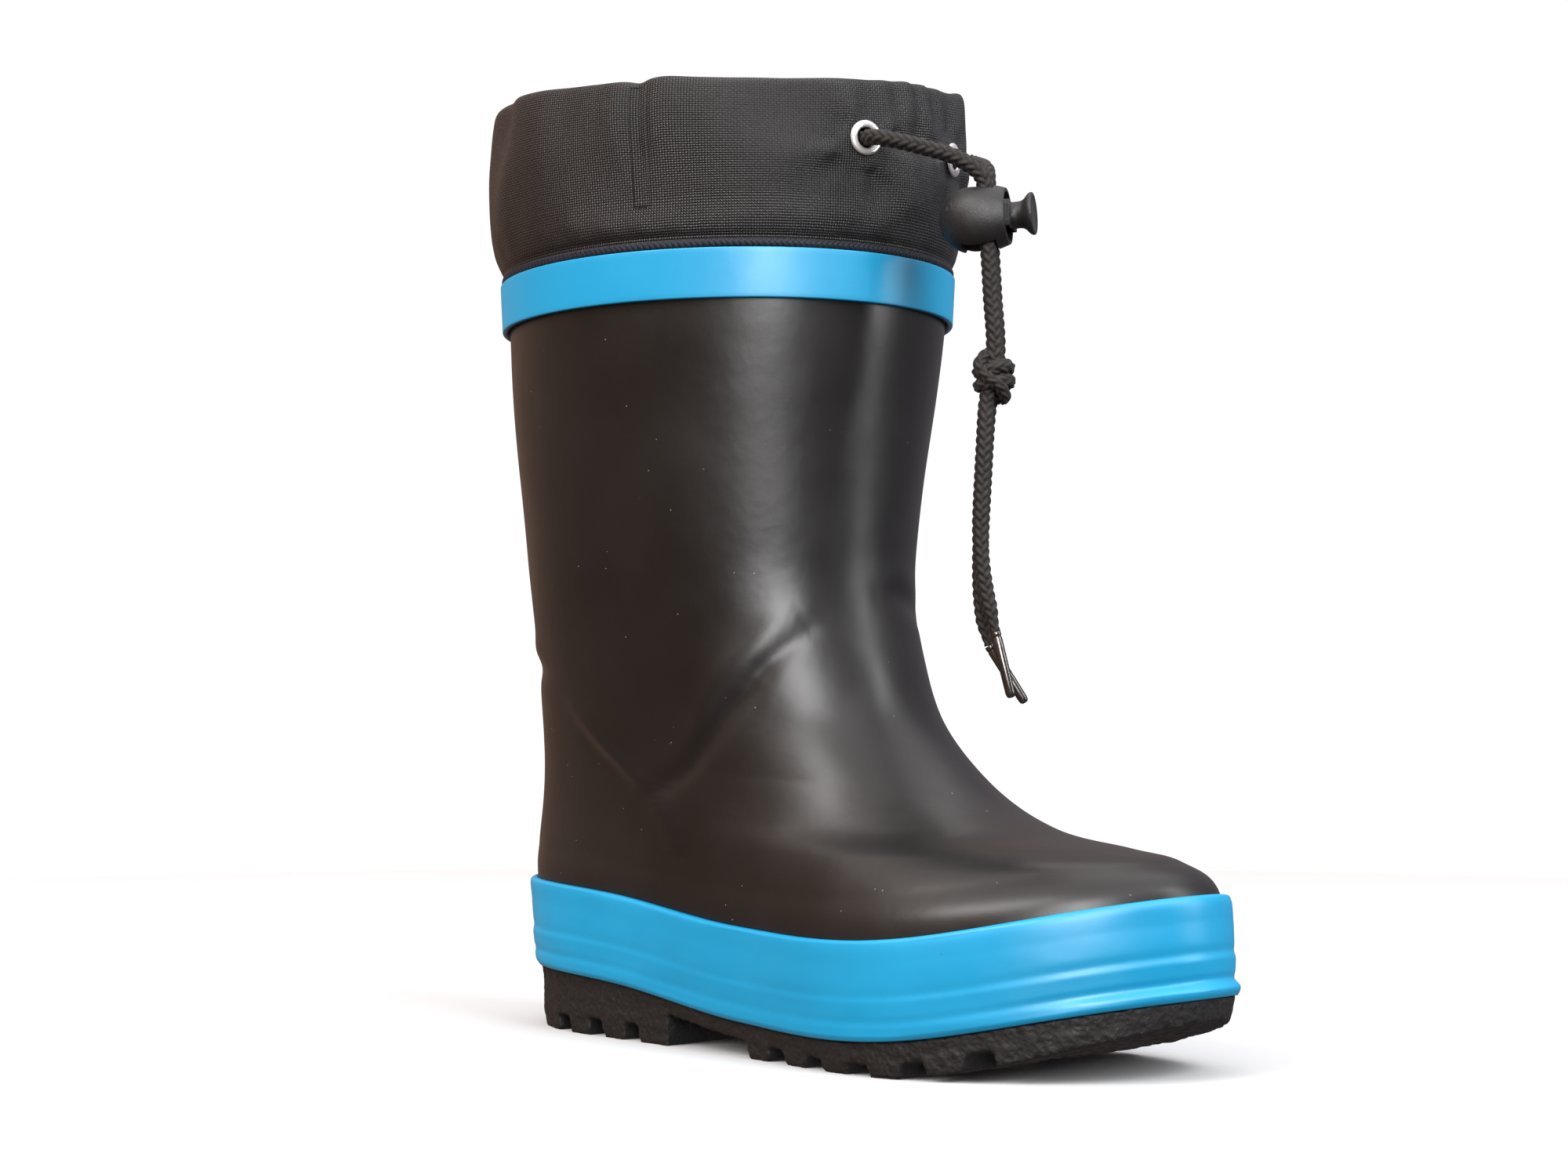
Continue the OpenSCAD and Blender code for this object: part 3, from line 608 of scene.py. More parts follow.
for i in range(-5, 0):
    for side0, side1 in ((0, 0.4), (0.6, 1)):
        slabs.append(lug(i, root(0.8), ground, EDGE - 0.5, EDGE - 1.3, side0, side1, 0.6))
for i in range(-5, -1):
    slabs.append(lug(i + 0.5, root(0.8), ground, EDGE - 2, EDGE - 2, 0.43, 0.57, 0.3))
points, faces = [], []
for corners in slabs:
    base, n = sum(len(p) for p in points), len(corners)
    points.append(corners.reshape(-1, 3))
    for i in range(n - 1):
        for j in range(4):
            k = (j + 1) % 4
            at = base + i * 4
            faces.append([at + j, at + k, at + 4 + k, at + 4 + j])
    faces.append([base + j for j in (3, 2, 1, 0)])
    faces.append([base + (n - 1) * 4 + j for j in range(4)])
rough_sole = new_piece("outsole_slabs", np.concatenate(points), faces)
print("outsole:", len(slabs), "slabs")


# %% Melt the slabs together and roughen them
def bake_modifiers(piece):
    """Turns a piece's modifiers into plain mesh."""
    shape = bpy.data.meshes.new_from_object(piece.evaluated_get(bpy.context.evaluated_depsgraph_get()))
    piece.modifiers.clear()
    piece.data = shape
    return piece


def points_of(piece):
    found = np.empty(len(piece.data.vertices) * 3)
    piece.data.vertices.foreach_get("co", found)
    return found.reshape(-1, 3) / MM


def normals_of(piece):
    found = np.empty(len(piece.data.vertices) * 3)
    piece.data.vertex_normals.foreach_get("vector", found)
    return found.reshape(-1, 3)


def move_points(piece, points):
    piece.data.vertices.foreach_set("co", (points * MM).ravel())
    piece.data.update()


melt = rough_sole.modifiers.new("melt", "REMESH")
melt.mode, melt.voxel_size, melt.use_smooth_shade = "VOXEL", 0.62 * MM, True
outsole = bake_modifiers(rough_sole)
outsole.name = "lugged_outsole"
points, out = points_of(outsole), normals_of(outsole)
grain = lumps(points, 1.6, 21) * 0.24 + lumps(points, 3.4, 22) * 0.14
clear_of_ground = step_up(0.2, 1.2, points[:, 2])
move_points(outsole, points + out * (grain * clear_of_ground)[:, None])
print("outsole:", len(outsole.data.vertices), "points")

# %% [markdown]
# ## The coloured band round the top
# A flat strip of rubber is cemented over the raw top of the leg, and hides where the nylon is
# glued in. It is a plain rectangular strip, with edges that are only just rounded, so it is
# swept from a small rounded rectangle. Its girth is not quite even, because it is laid by hand.

# %% Make the top band
BAND_LOW, BAND_TOP, CUFF_TOP = 186.5, 199, 247
NYLON = 0.7
BAND_IN, BAND_WALL = 0.1 + NYLON + 0.1, 1.3


def rounded_strip(low, high, near, far, r):
    """Profile of a strip, up its outside and down its inside: distance out, height."""
    bends = np.radians([90, 67, 45, 22, 0])
    corner = [(far - r + r * math.sin(t), high - r + r * math.cos(t)) for t in bends]
    under = [(x, low + high - z) for x, z in corner[::-1]]
    return np.array(under + [(far, z) for z in np.linspace(low + r, high - r, 12)[1:-1]] + corner
                    + [(near, high), (near, (low + high) / 2), (near, low)])


def swept_oval(profile, angles, wobble=0.0, seed=0):
    place = oval(angles[None], profile[:, 1:2], profile[:, :1])
    if wobble:
        spread = (profile[:, :1] > BAND_IN + 0.3) * wobble * lumps(place * [1, 1, 0.5], 30, seed)
        place = oval(angles[None], profile[:, 1:2], profile[:, :1] + spread)
    return place


top_band = ring_piece("top_band_strip", swept_oval(
    rounded_strip(BAND_LOW, BAND_TOP, BAND_IN, BAND_IN + BAND_WALL, 0.35), round_angles, 0.15, 31))

# %% [markdown]
# ## The nylon cuff
# The cuff is one strip of oxford nylon, about 370 mm round and 110 mm high. Its lower edge is
# glued under the band, it stands up, folds over at the top and hangs down inside, and the cord
# runs in the fold. Cloth pulled by a cord has soft folds that spread from the eyelets, and
# small puckers at the seam and over the edge tape. A cloth simulation would find its own folds.
# To put them where the real ones are, each fold is a small function of the distance along the
# cloth from the thing that causes it, and the strip gets its thickness at the end.

# %% Shape the cuff
CUFF_ROUND, CUFF_ROWS = 468, 150
SEAM_ANGLE = -68
# distance out from the leg's top and height, up the outside and down the inside
CUFF_PROFILE = [[0.8, 188.5], [0.8, 196], [0.85, 201.9], [1.7, 203.6], [2.6, 210], [3.2, 220],
                [3.35, 228], [2.9, 235], [2.3, 240.5], [1.3, 245.4], [-0.4, 246.8], [-1.9, 245],
                [-2.6, 240], [-3.2, 234], [-3.6, 228], [-3.5, 220], [-3.4, 212], [-3.1, 203], [-3.3, 196]]
profile, _ = even_path(np.array(CUFF_PROFILE), 0.4)
profile = profile[np.linspace(0, len(profile) - 1, CUFF_ROWS).round().astype(int)]
down_cloth = np.concatenate([[0], np.cumsum(np.linalg.norm(np.diff(profile, axis=0), axis=1))])
cuff_angles = np.arange(CUFF_ROUND) * 360 / CUFF_ROUND - 180
turn = np.broadcast_to(cuff_angles, (CUFF_ROWS, CUFF_ROUND))
reach = np.broadcast_to(profile[:, :1], turn.shape).copy()
height = np.broadcast_to(profile[:, 1:], turn.shape).copy()
outside = np.broadcast_to((np.arange(CUFF_ROWS) <= np.argmax(profile[:, 1]))[:, None], turn.shape)
GIRTH_MM = 1.04                                   # millimetres of girth for one degree


def drop(angle):
    """The outer side of the front hangs a little lower."""
    return 6 * np.maximum(0, np.cos(np.radians(angle + 45))) ** 1.6


def round_from(angle):
    return ((turn - angle + 180) % 360 - 180) * GIRTH_MM


def ridge(x, width):
    return np.exp(-((x / width) ** 2))


fold = np.zeros(turn.shape)
free = step_up(204, 212, height)                  # the glued part stays flat
upper_part = step_up(212, 240, height)
for side in (-1, 1):
    across, above = round_from(eyelet_angle(side)), height - EYELET_Z
    far, way = np.hypot(across, above), np.arctan2(above, across * side)
    spread = step_up(5.5, 11, far) * np.exp(-((far / 19) ** 2))
    fold += spread * (0.85 * np.cos(5 * way + 0.6) + 0.4 * np.cos(9 * way + 2))
    fold -= 1.1 * ridge(far, 9) * step_up(3, 7, far)
# the cord pulls the cloth between the eyelets into upright pleats
between = ridge(round_from(2.5), 14)
fold += between * upper_part * (0.55 * np.cos(round_from(0) * 2 * np.pi / 8.2) + 0.3)
# a hollow under the outer eyelet, and the long pull across the outer side
right_of = round_from(eyelet_angle(-1))
fold -= 1.5 * ridge(right_of - 4, 6) * ridge(height - 216, 8)
fold += 1.2 * ridge(right_of - 14, 7) * ridge(height - 212, 9)
fold -= 1.3 * ridge(right_of + 17, 13) * ridge(height - 236, 9)
fold += 0.9 * ridge(right_of + 30, 14) * ridge(height - 222, 12)
# the seam draws in, with a pucker each side of it
at_seam = round_from(SEAM_ANGLE)
fold -= 0.9 * ridge(at_seam, 2.4) * step_up(216, 228, height)
fold += 0.8 * ridge(np.abs(at_seam) - 6, 4) * upper_part
fold -= 0.35 * ridge(at_seam, 1.2) * (1 - upper_part)
fold += 0.7 * ridge(at_seam + 40, 9) * upper_part - 0.6 * ridge(at_seam + 52, 5) * upper_part
# soft unevenness everywhere, puckers above the edge tape, waves along the top
place = oval(turn, height, reach)
fold += lumps(place, 24, 41) * 1.5 + lumps(place * [1, 1, 0.45], 10, 42) * 0.5
# past the inner eyelet the cloth makes a pointed corner, and is drawn in behind it
fold += (1.4 * ridge(round_from(31), 5) - 2.0 * ridge(round_from(46), 9)) * upper_part
# round the eyelets it lies flat under the metal
for side in (-1, 1):
    far = np.hypot(round_from(eyelet_angle(side)), height - EYELET_Z)
    fold = fold * step_up(4.6, 8.5, far) - 0.25 * (1 - step_up(4.6, 7, far))
swell = np.cos(round_from(0) * 2 * np.pi / 9.3 + lumps(place, 25, 43) * 3)
tape_pucker = ridge(height - 206.5, 3) * (0.4 + 0.13 * swell)
fold = fold * free + tape_pucker * step_up(202.6, 204.5, height)
reach = reach + np.where(outside, fold, fold * 0.55)
fall = drop(turn) * np.maximum(0, (height - 212) / 35)
wave = lumps(oval(turn, CUFF_TOP, 0), 26, 44) * 0.7 - 0.5 * ridge(at_seam, 2.2)
wave += 0.6 * ridge(at_seam - 7, 6) + 1.2 * ridge(round_from(31), 5)
height = height - fall + wave * upper_part
place = oval(turn, height, reach)

# %% Cut the eyelet holes and thicken the cloth
CLOTH_GIRTH = 374
along = np.linspace(0, CLOTH_GIRTH, CUFF_ROUND + 1)
cloth_uv = np.stack(np.broadcast_arrays(along[None], down_cloth[:, None]), -1)
cuff = ring_piece("nylon_cuff", place, hollow=False, uv=cloth_uv)


def eyelet_place(side):
    """The middle of an eyelet on the cuff's face, and the directions across, up and out."""
    a = eyelet_angle(side)
    middle = oval(a, EYELET_Z, CUFF_FACE)
    across = oval(a + 1, EYELET_Z, CUFF_FACE) - oval(a - 1, EYELET_Z, CUFF_FACE)
    across = across * [1, 1, 0]
    across /= np.linalg.norm(across)
    up = np.array([0, 0, 1.0])
    return middle, across, up, np.cross(across, up)


def cut_holes(piece, radius, depth):
    """Takes out the faces inside the eyelets, in the outer layer only."""
    shape = bmesh.new()
    shape.from_mesh(piece.data)
    gone = []
    for side in (-1, 1):
        middle, across, up, out = eyelet_place(side)
        for face in shape.faces:
            offset = np.array(face.calc_center_median()) / MM - middle
            if math.hypot(offset @ across, offset @ up) < radius and abs(offset @ out) < depth:
                gone.append(face)
    bmesh.ops.delete(shape, geom=gone, context="FACES")
    shape.to_mesh(piece.data)
    shape.free()
    return len(gone)


print("faces cut out for the eyelets:", cut_holes(cuff, 3.2, 4))
thicken = cuff.modifiers.new("cloth_thickness", "SOLIDIFY")
thicken.thickness, thicken.offset = 0.4 * MM, -1
bake_modifiers(cuff)
print("cuff girth", CLOTH_GIRTH, "mm, cloth height", round(down_cloth[-1]), "mm")

# %% [markdown]
# ## Edge tape and side seam
# The nylon's lower edge is finished with overlock stitching, which shows as a dark ribbed line
# just above the band. Its threads are raised in the mesh: each stitch is a slanting rib, and a
# chain of loops runs along the top. The two ends of the strip meet in a lapped seam on the
# outer side, a narrow doubled strip of the same nylon.

# %% Make the stitched edge tape
STITCH = 1.5
tape_turn = np.arange(2040) * 360 / 2040
bulge = np.radians(np.linspace(8, 172, 12))
tape_shape = [[BAND_IN + 0.02 + 0.85 * math.sin(t), 199.1 + 1.1 * (1 - math.cos(t))] for t in bulge]
tape_shape = np.array([*tape_shape, [BAND_IN, 200.9], [BAND_IN, 199.4]])
along, across = np.meshgrid(tape_turn * GIRTH_MM, np.arange(len(tape_shape)) / 11, indexing="xy")
rib = np.abs(np.sin(np.pi * (along / STITCH + across * 0.9))) ** 0.6
chain = np.abs(np.sin(np.pi * (along / STITCH - across * 1.4))) ** 0.6
rib = np.where(across < 0.6, rib, chain)
rib[-2:] = 0.5
out, up = tape_shape[:, :1], tape_shape[:, 1:]
uneven = lumps(oval(tape_turn[None], up, 0.0), 7, 51) * 0.14
gaps = 0.45 * (1 - rib) * (out > BAND_IN)
tape = ring_piece("edge_tape", oval(tape_turn[None], up + uneven * 0.6, out - gaps + uneven * 0.3))
set_relief(tape, rib)

# %% Make the side seam
seam_rows = np.nonzero((profile[:, 1] > 209) & outside[:, 0] & (profile[:, 1] < 245))[0]
seam_points = []
centre_column = int(round((SEAM_ANGLE + 180) / 360 * CUFF_ROUND))
for row in seam_rows:
    line = [place[row, centre_column + k] for k in (-3, -2, 0, 2, 3)]
    outward = np.cross(line[-1] - line[0], [0, 0, 1.0])
    outward /= np.linalg.norm(outward)
    top = [q + outward * h for q, h in zip(line, (-0.05, 0.16, 0.2, 0.16, -0.05))]
    low = [q - outward * 0.12 for q in line[::-1]]
    seam_points.append(top + low)
across_seam = np.array([-2.4, -1.6, 0, 1.6, 2.4, 2.4, 1.6, 0, -1.6, -2.4])
seam_uv = np.stack(np.broadcast_arrays(across_seam, down_cloth[seam_rows][:, None]), -1)
side_seam = closed_tube("side_seam", np.array(seam_points), seam_uv)
print("stitches round the edge:", round(CLOTH_GIRTH / STITCH), "seam rows:", len(seam_rows))

# %% [markdown]
# ## The lining and the footbed
# Inside, the boot is lined with a cotton knit that is bonded to the rubber, and a foam footbed
# lies loose on the insole board. Neither can be seen from the front, but both show from above.
# The lining is the skin again, moved in. The footbed is a crowned sheet: its rim is rounded
# and its heel is cupped.

# %% Make the lining
lining_outer = upper_rings(np.linspace(0.45, 11.9, 90), -2.65)
lining_inner = upper_rings(np.linspace(11.9, 0.45, 90), -3.35)
down = np.linspace(0, 230, 91)
lining_uv = np.stack(np.broadcast_arrays(np.linspace(0, 340, ROUND + 1)[None],
                                         np.concatenate([down[:90], down[::-1]])[:, None]), -1)
lining = ring_piece("knit_lining", np.concatenate([lining_outer, lining_inner]), uv=lining_uv)

# %% Make the footbed
FOXING_HEIGHT = 23.0


def floor_ring(high, out):
    angle = round_angles
    ring = skin(np.full(ROUND, high / FOXING_HEIGHT), angle, np.full(ROUND, float(out)))
    ring[:, 2] = plate_top(angle) + high
    return ring


rim = [(6.7, -4.0), (6.7, -3.75), (9.2, -3.72), (10.1, -3.95), (10.5, -4.7)]
rings = [floor_ring(high, out) for high, out in rim]
edge = rings[-1]
spine = np.stack([np.interp(edge[:, 1], [-104, 104], [2.5, -1.5]), edge[:, 1], edge[:, 2]], 1)
for share in np.linspace(0.06, 1, 22):
    ring = edge + (spine - edge) * share
    cup = 0.9 * (1 - share) ** 2
    ring[:, 2] = edge[:, 2] + (spine[:, 2] - edge[:, 2]) * share - 0.5 * step_up(0, 0.5, share) + cup * 0.4
    rings.append(ring)
under = [floor_ring(6.7, -4.0)]
middle_low = [under[0] + (np.stack([spine[:, 0], under[0][:, 1], under[0][:, 2]], 1) - under[0]) * share
              for share in np.linspace(1, 0.1, 8)]
rings = np.array(middle_low + rings)
from_above = np.concatenate([rings, rings[:, :1]], 1)[..., :2]
footbed = ring_piece("foam_footbed", rings, hollow=False, uv=from_above)
print("footbed:", len(footbed.data.vertices), "points")

# %% [markdown]
# ## Eyelets and cord tips
# Both are metal turned or pressed round an axis, so each is a profile spun round that axis. An
# eyelet is a rolled ring with a barrel that goes through the cloth and is clinched over a
# washer behind it. A tip is a thin tube crimped on the end of the cord, closed by a small dome.

# %% Turn the eyelets
def turned(name, profile, middle, axis, sides=96, closed=True):
    """Spins a profile of (distance from the axis, height along it)."""
    axis = np.asarray(axis, float) / np.linalg.norm(axis)
    side = np.cross(axis, [0.2, 0.1, 1] if abs(axis[2]) < 0.9 else [1, 0.2, 0])
    side /= np.linalg.norm(side)
    other = np.cross(axis, side)
    t = np.arange(sides) * 2 * np.pi / sides
    spin = side * np.cos(t)[:, None] + other * np.sin(t)[:, None]
    rings = np.array([middle + axis * z + spin * r for r, z in profile])
    return ring_piece(name, rings) if closed else closed_tube(name, rings)


EYELET_R, EYELET_OUT = 2.6, 4.4
over_ring = np.radians(np.arange(0, 181, 12))
roll = [(3.5 + 0.9 * math.cos(t), 0.2 + 0.75 * math.sin(t) ** 0.7) for t in over_ring]
eyelet_shape = [(EYELET_OUT - 0.05, 0.08), (EYELET_OUT, 0.14)] + roll + [
    (EYELET_R, -0.4), (EYELET_R, -1.5), (EYELET_R + 0.12, -1.65), (EYELET_R + 0.3, -1.6),
    (EYELET_R + 0.3, 0.1), (EYELET_OUT - 0.5, 0.06)]
washer_shape = [(EYELET_OUT - 0.08, -1.6), (EYELET_OUT, -1.5), (EYELET_OUT - 0.08, -1.27),
                (EYELET_R + 0.5, -1.27), (EYELET_R + 0.42, -1.4), (EYELET_R + 0.42, -1.58)]
rings_of_metal = {}
for word, side in (("right", -1), ("left", 1)):
    middle, across, up, out = eyelet_place(side)
    rings_of_metal["eyelet_" + word] = turned("chrome_eyelet_" + word, eyelet_shape, middle, out)
    rings_of_metal["washer_" + word] = turned("eyelet_washer_" + word, washer_shape, middle, out)

# %% Turn the cord tips
tip_shape = [(0.02, 0.0), (TIP_R - 0.1, 0.0), (TIP_R, 0.15), (TIP_R, 0.9), (TIP_R - 0.12, 1.1),
             (TIP_R - 0.12, 1.5), (TIP_R, 1.7), (TIP_R - 0.03, 8), (TIP_R - 0.08, TIP_LENGTH - 1.3),
             (TIP_R - 0.22, TIP_LENGTH - 0.5), (TIP_R - 0.6, TIP_LENGTH - 0.08), (0.02, TIP_LENGTH)]
tips = {}
for word, start, end in (("right", tail_right[-1], tip_right_end), ("left", tail_left[-1], tip_left_end)):
    start = np.array(start, float)
    tips[word] = turned("cord_tip_" + word, tip_shape, start, np.array(end) - start, sides=64, closed=False)

# %% [markdown]
# ## The cord lock
# The lock is a hollow ball with a slot through it for the strands, and a button that slides in
# a socket across the slot. Each is a turned shape with plain blocks cut away. A bevel then
# softens the cut edges of the ball, because moulded plastic is never quite sharp. On the ball is
# the small round mark where the plastic came in.

# %% Cut the lock from turned shapes
LOCK_R, BALL_X, RIM_X, RIM_R, SLOT = 8.5, -3.6, 5.0, 6.95, 4.5


def lock_axes(points):
    """Points given along the lock's axes, turned into the boot's."""
    return np.array([in_lock(*p) for p in points])


def turned_bar(name, profile, sides=96):
    t = np.arange(sides) * 2 * np.pi / sides
    rings = np.array([lock_axes([(x, r * math.cos(a), r * math.sin(a)) for a in t]) for x, r in profile])
    return closed_tube(name, rings)


def block(name, low, high):
    """A plain block between two corners, used only as a cutter."""
    corners = [[x, y, z] for z, y, x in itertools.product(*zip(low[::-1], high[::-1]))]
    faces = [(0, 2, 3, 1), (4, 5, 7, 6), (0, 1, 5, 4), (2, 6, 7, 3), (0, 4, 6, 2), (1, 3, 7, 5)]
    return new_piece(name, lock_axes(corners), faces)


def combine(piece, others, operation="DIFFERENCE"):
    """Cuts other shapes out of a piece, or joins them to it; they are used up."""
    for other in others:
        step = piece.modifiers.new("cut", "BOOLEAN")
        step.operation, step.object, step.solver = operation, other, "EXACT"
    bake_modifiers(piece)
    for other in others:
        bpy.data.objects.remove(other)


def soften(piece, width):
    edge = piece.modifiers.new("soft_edges", "BEVEL")
    edge.width, edge.segments = width * MM, 3
    edge.limit_method, edge.angle_limit = "ANGLE", math.radians(35)
    bake_modifiers(piece)
    piece.data.polygons.foreach_set("use_smooth", [True] * len(piece.data.polygons))
    piece.data.update()


ball = [(BALL_X - LOCK_R * math.cos(t), LOCK_R * math.sin(t)) for t in np.radians(np.arange(2, 90, 2))]
for share in np.linspace(0, 1, 14):
    squeeze = share**2 * (1 - (RIM_R / LOCK_R) ** 2)
    ball.append((BALL_X + share * (RIM_X - BALL_X), LOCK_R * math.sqrt(1 - squeeze)))
housing = turned_bar("lock_ball", ball, 128)
socket = turned_bar("socket", [(-7.4, 6.35), (RIM_X + 1, 6.35)])
combine(socket, [block("flats", (-8, -5.85, -3.45), (7, 5.85, 3.45))], "INTERSECT")
slot = block("slot", (-6.4, -SLOT, -12), (2.3, SLOT, 12))
mouth = turned_bar("mouth", [(RIM_X - 1.2, 6.1), (RIM_X + 2, 6.1)])
combine(housing, [slot, socket, mouth, turned_bar("pocket", [(-9.4, 3.1), (-5.4, 3.1)])])
soften(housing, 0.22)
mark = in_lock(BALL_X - 0.6 * LOCK_R, -0.757 * LOCK_R, 0.26 * LOCK_R)
points, out = points_of(housing), normals_of(housing)
far = np.linalg.norm(points - mark, axis=1)
rise = 0.12 * ridge(far - 0.9, 0.3) - 0.2 * ridge(far, 0.5)
move_points(housing, points + out * rise[:, None])

WINDOW_IN, WINDOW_OUT, CAP_END = -2.3, 5.5, 11.5
button = turned_bar("lock_push_button", [(WINDOW_IN - 1.6, 6.1), (WINDOW_OUT + 0.6, 6.1)])
combine(button, [block("flats", (-8, -5.7, -3.25), (8, 5.7, 3.25))], "INTERSECT")
stem = [(WINDOW_OUT, 3.3), (7.8, 3.3), (8.6, 3.42), (9.3, 3.85), (9.9, 4.55), (10.3, 4.95),
        (10.7, 5.2), (11.1, 5.28), (11.35, 5.22), (CAP_END, 5.02), (CAP_END, 4.6),
        (CAP_END - 0.12, 4.4), (CAP_END - 0.12, 0.4)]
combine(button, [turned_bar("stem", stem)], "UNION")
combine(button, [block("window", (WINDOW_IN, -SLOT, -10), (WINDOW_OUT, SLOT, 10))])
print("lock:", len(housing.data.vertices), "and", len(button.data.vertices), "points")

# %% [markdown]
# ## The lock's spring
# The spring sits in a pocket behind the button. It is a short open coil of wire, so it is a
# tube along a helix about the button's own axis.

# %% Wind the spring
SPRING_BACK, SPRING_FRONT, SPRING_R = -9.05, -4.25, 2.5
coil_turn = np.linspace(0, 8 * np.pi, 193)
coil = np.array([in_lock(SPRING_BACK + (SPRING_FRONT - SPRING_BACK) * t / (8 * np.pi),
                         SPRING_R * math.cos(t), SPRING_R * math.sin(t)) for t in coil_turn])
spring = closed_tube("lock_coil_spring", tube_points(coil, np.full((len(coil), 1), 0.25), 12))

# %% [markdown]
# ## Finishes
# A finish here is a node tree: a plain shader whose own sockets hold what is the same all over,
# and textures only where a surface really varies. One helper adds a node and links what it is
# given. Sizes of textures are in metres, so a scale of 1000 makes grains a millimetre across.

# %% Helpers for finishes
def new_finish(name, colour, roughness, **sockets):
    made = bpy.data.materials.new(name)
    made.use_nodes = True
    shader = made.node_tree.nodes["Principled BSDF"]
    shader.inputs["Base Color"].default_value = (*colour, 1)
    shader.inputs["Roughness"].default_value = roughness
    for socket, value in sockets.items():
        shader.inputs[socket.replace("_", " ")].default_value = value
    return made


def node(tree, kind, settings=(), **inputs):
    made = tree.nodes.new("ShaderNode" + kind)
    for name, value in dict(settings).items():
        setattr(made, name, value)
    for name, value in inputs.items():
        socket = made.inputs[int(name[1:])] if name[1:].isdigit() else made.inputs[name.replace("_", " ")]
        if isinstance(value, bpy.types.NodeSocket):
            tree.links.new(value, socket)
        else:
            socket.default_value = value
    return made


def math_of(tree, operation, a, b=0.0):
    return node(tree, "Math", {"operation": operation}, _0=a, _1=b).outputs[0]


def spread(tree, value, low, high, to_low, to_high):
    """Stretches what lies between low and high over another range."""
    ends = {"From_Min": low, "From_Max": high, "To_Min": to_low, "To_Max": to_high}
    return node(tree, "MapRange", {}, Value=value, **ends).outputs[0]


def two_colours(tree, share, a, b):
    a = a if isinstance(a, bpy.types.NodeSocket) else (*a, 1)
    return node(tree, "Mix", {"data_type": "RGBA"}, _0=share, _6=a, _7=(*b, 1)).outputs[2]


def noise(tree, scale, detail=3.0):
    place = node(tree, "TexCoord").outputs["Object"]
    return node(tree, "TexNoise", {}, Vector=place, Scale=scale, Detail=detail).outputs[0]


def patches(tree, scale, to_low, to_high, detail=3.0):
    """A number that wanders softly between two values."""
    return spread(tree, noise(tree, scale, detail), 0.3, 0.7, to_low, to_high)


def raise_by(tree, height, distance, under=None):
    inputs = {"Height": height, "Distance": distance, "Strength": 1.0}
    if under:
        inputs["Normal"] = under
    return node(tree, "Bump", {}, **inputs).outputs[0]


def plug(material, **links):
    """Links textures into the shader."""
    shader = material.node_tree.nodes["Principled BSDF"]
    for socket, value in links.items():
        material.node_tree.links.new(value, shader.inputs[socket.replace("_", " ")])


def specks(tree, cells, size, share):
    """1 on small round specks, in a share of the cells of a scattered pattern."""
    cell = node(tree, "TexVoronoi", {}, Vector=node(tree, "TexCoord").outputs["Object"], Scale=cells)
    near = math_of(tree, "LESS_THAN", cell.outputs["Distance"], size)
    colour = node(tree, "SeparateColor", {}, Color=cell.outputs["Color"])
    return math_of(tree, "MULTIPLY", near, math_of(tree, "LESS_THAN", colour.outputs[0], share))


# %% [markdown]
# ### Rubber
# Boot rubber is satin, not glossy: its gloss differs a little from place to place, its surface
# has a faint orange peel from the last, and it picks up dust. The outsole is the same material
# with a coarse grain that the mould gives it, and a few paler scuffs on the grain.

# %% Black rubber
leg_rubber = new_finish("black_satin_rubber", (0.011, 0.0102, 0.0102), 0.38, Specular_IOR_Level=0.5)
tree = leg_rubber.node_tree
dark = two_colours(tree, spread(tree, noise(tree, 22), 0.35, 0.65, 0, 1),
                   (0.006, 0.0053, 0.0052), (0.0105, 0.0095, 0.0093))
dusty = two_colours(tree, specks(tree, 300, 0.05, 0.22), dark, (0.2, 0.19, 0.18))
peel = raise_by(tree, noise(tree, 160, 2), 0.00008)
plug(leg_rubber, Base_Color=dusty, Roughness=patches(tree, 45, 0.31, 0.4, 6),
     Normal=raise_by(tree, noise(tree, 1500, 4), 0.000012, peel))

# %% Coloured rubber
blue_rubber = new_finish("blue_satin_rubber", (0.013, 0.28, 0.61), 0.34, Specular_IOR_Level=0.5)
tree = blue_rubber.node_tree
blue = two_colours(tree, patches(tree, 30, 0, 1), (0.003, 0.29, 0.55), (0.008, 0.325, 0.60))
dusty = two_colours(tree, specks(tree, 260, 0.04, 0.12), blue, (0.05, 0.09, 0.12))
peel = raise_by(tree, noise(tree, 140, 2), 0.00007)
plug(blue_rubber, Base_Color=dusty, Roughness=patches(tree, 50, 0.34, 0.45, 6),
     Normal=raise_by(tree, noise(tree, 1300, 4), 0.000012, peel))

# %% Outsole rubber
outsole_rubber = new_finish("moulded_outsole_rubber", (0.02, 0.019, 0.0185), 0.62, Specular_IOR_Level=0.45)
tree = outsole_rubber.node_tree
place_on_sole = node(tree, "TexCoord").outputs["Object"]
cell = node(tree, "TexVoronoi", {"feature": "SMOOTH_F1"}, Vector=place_on_sole, Scale=850.0)
grain = raise_by(tree, cell.outputs["Distance"], 0.00028)
scuff = math_of(tree, "MULTIPLY", spread(tree, noise(tree, 1100, 4), 0.52, 0.72, 0, 1),
                spread(tree, noise(tree, 90), 0.4, 0.65, 0.1, 0.6))
plug(outsole_rubber, Base_Color=two_colours(tree, scuff, (0.007, 0.0065, 0.0063), (0.034, 0.031, 0.029)),
     Roughness=patches(tree, 600, 0.55, 0.8), Normal=raise_by(tree, noise(tree, 2600, 4), 0.0001, grain))

core_rubber = new_finish("plain_core_rubber", (0.035, 0.035, 0.037), 0.7)
tree = core_rubber.node_tree
plug(core_rubber, Normal=raise_by(tree, noise(tree, 900), 0.00005))
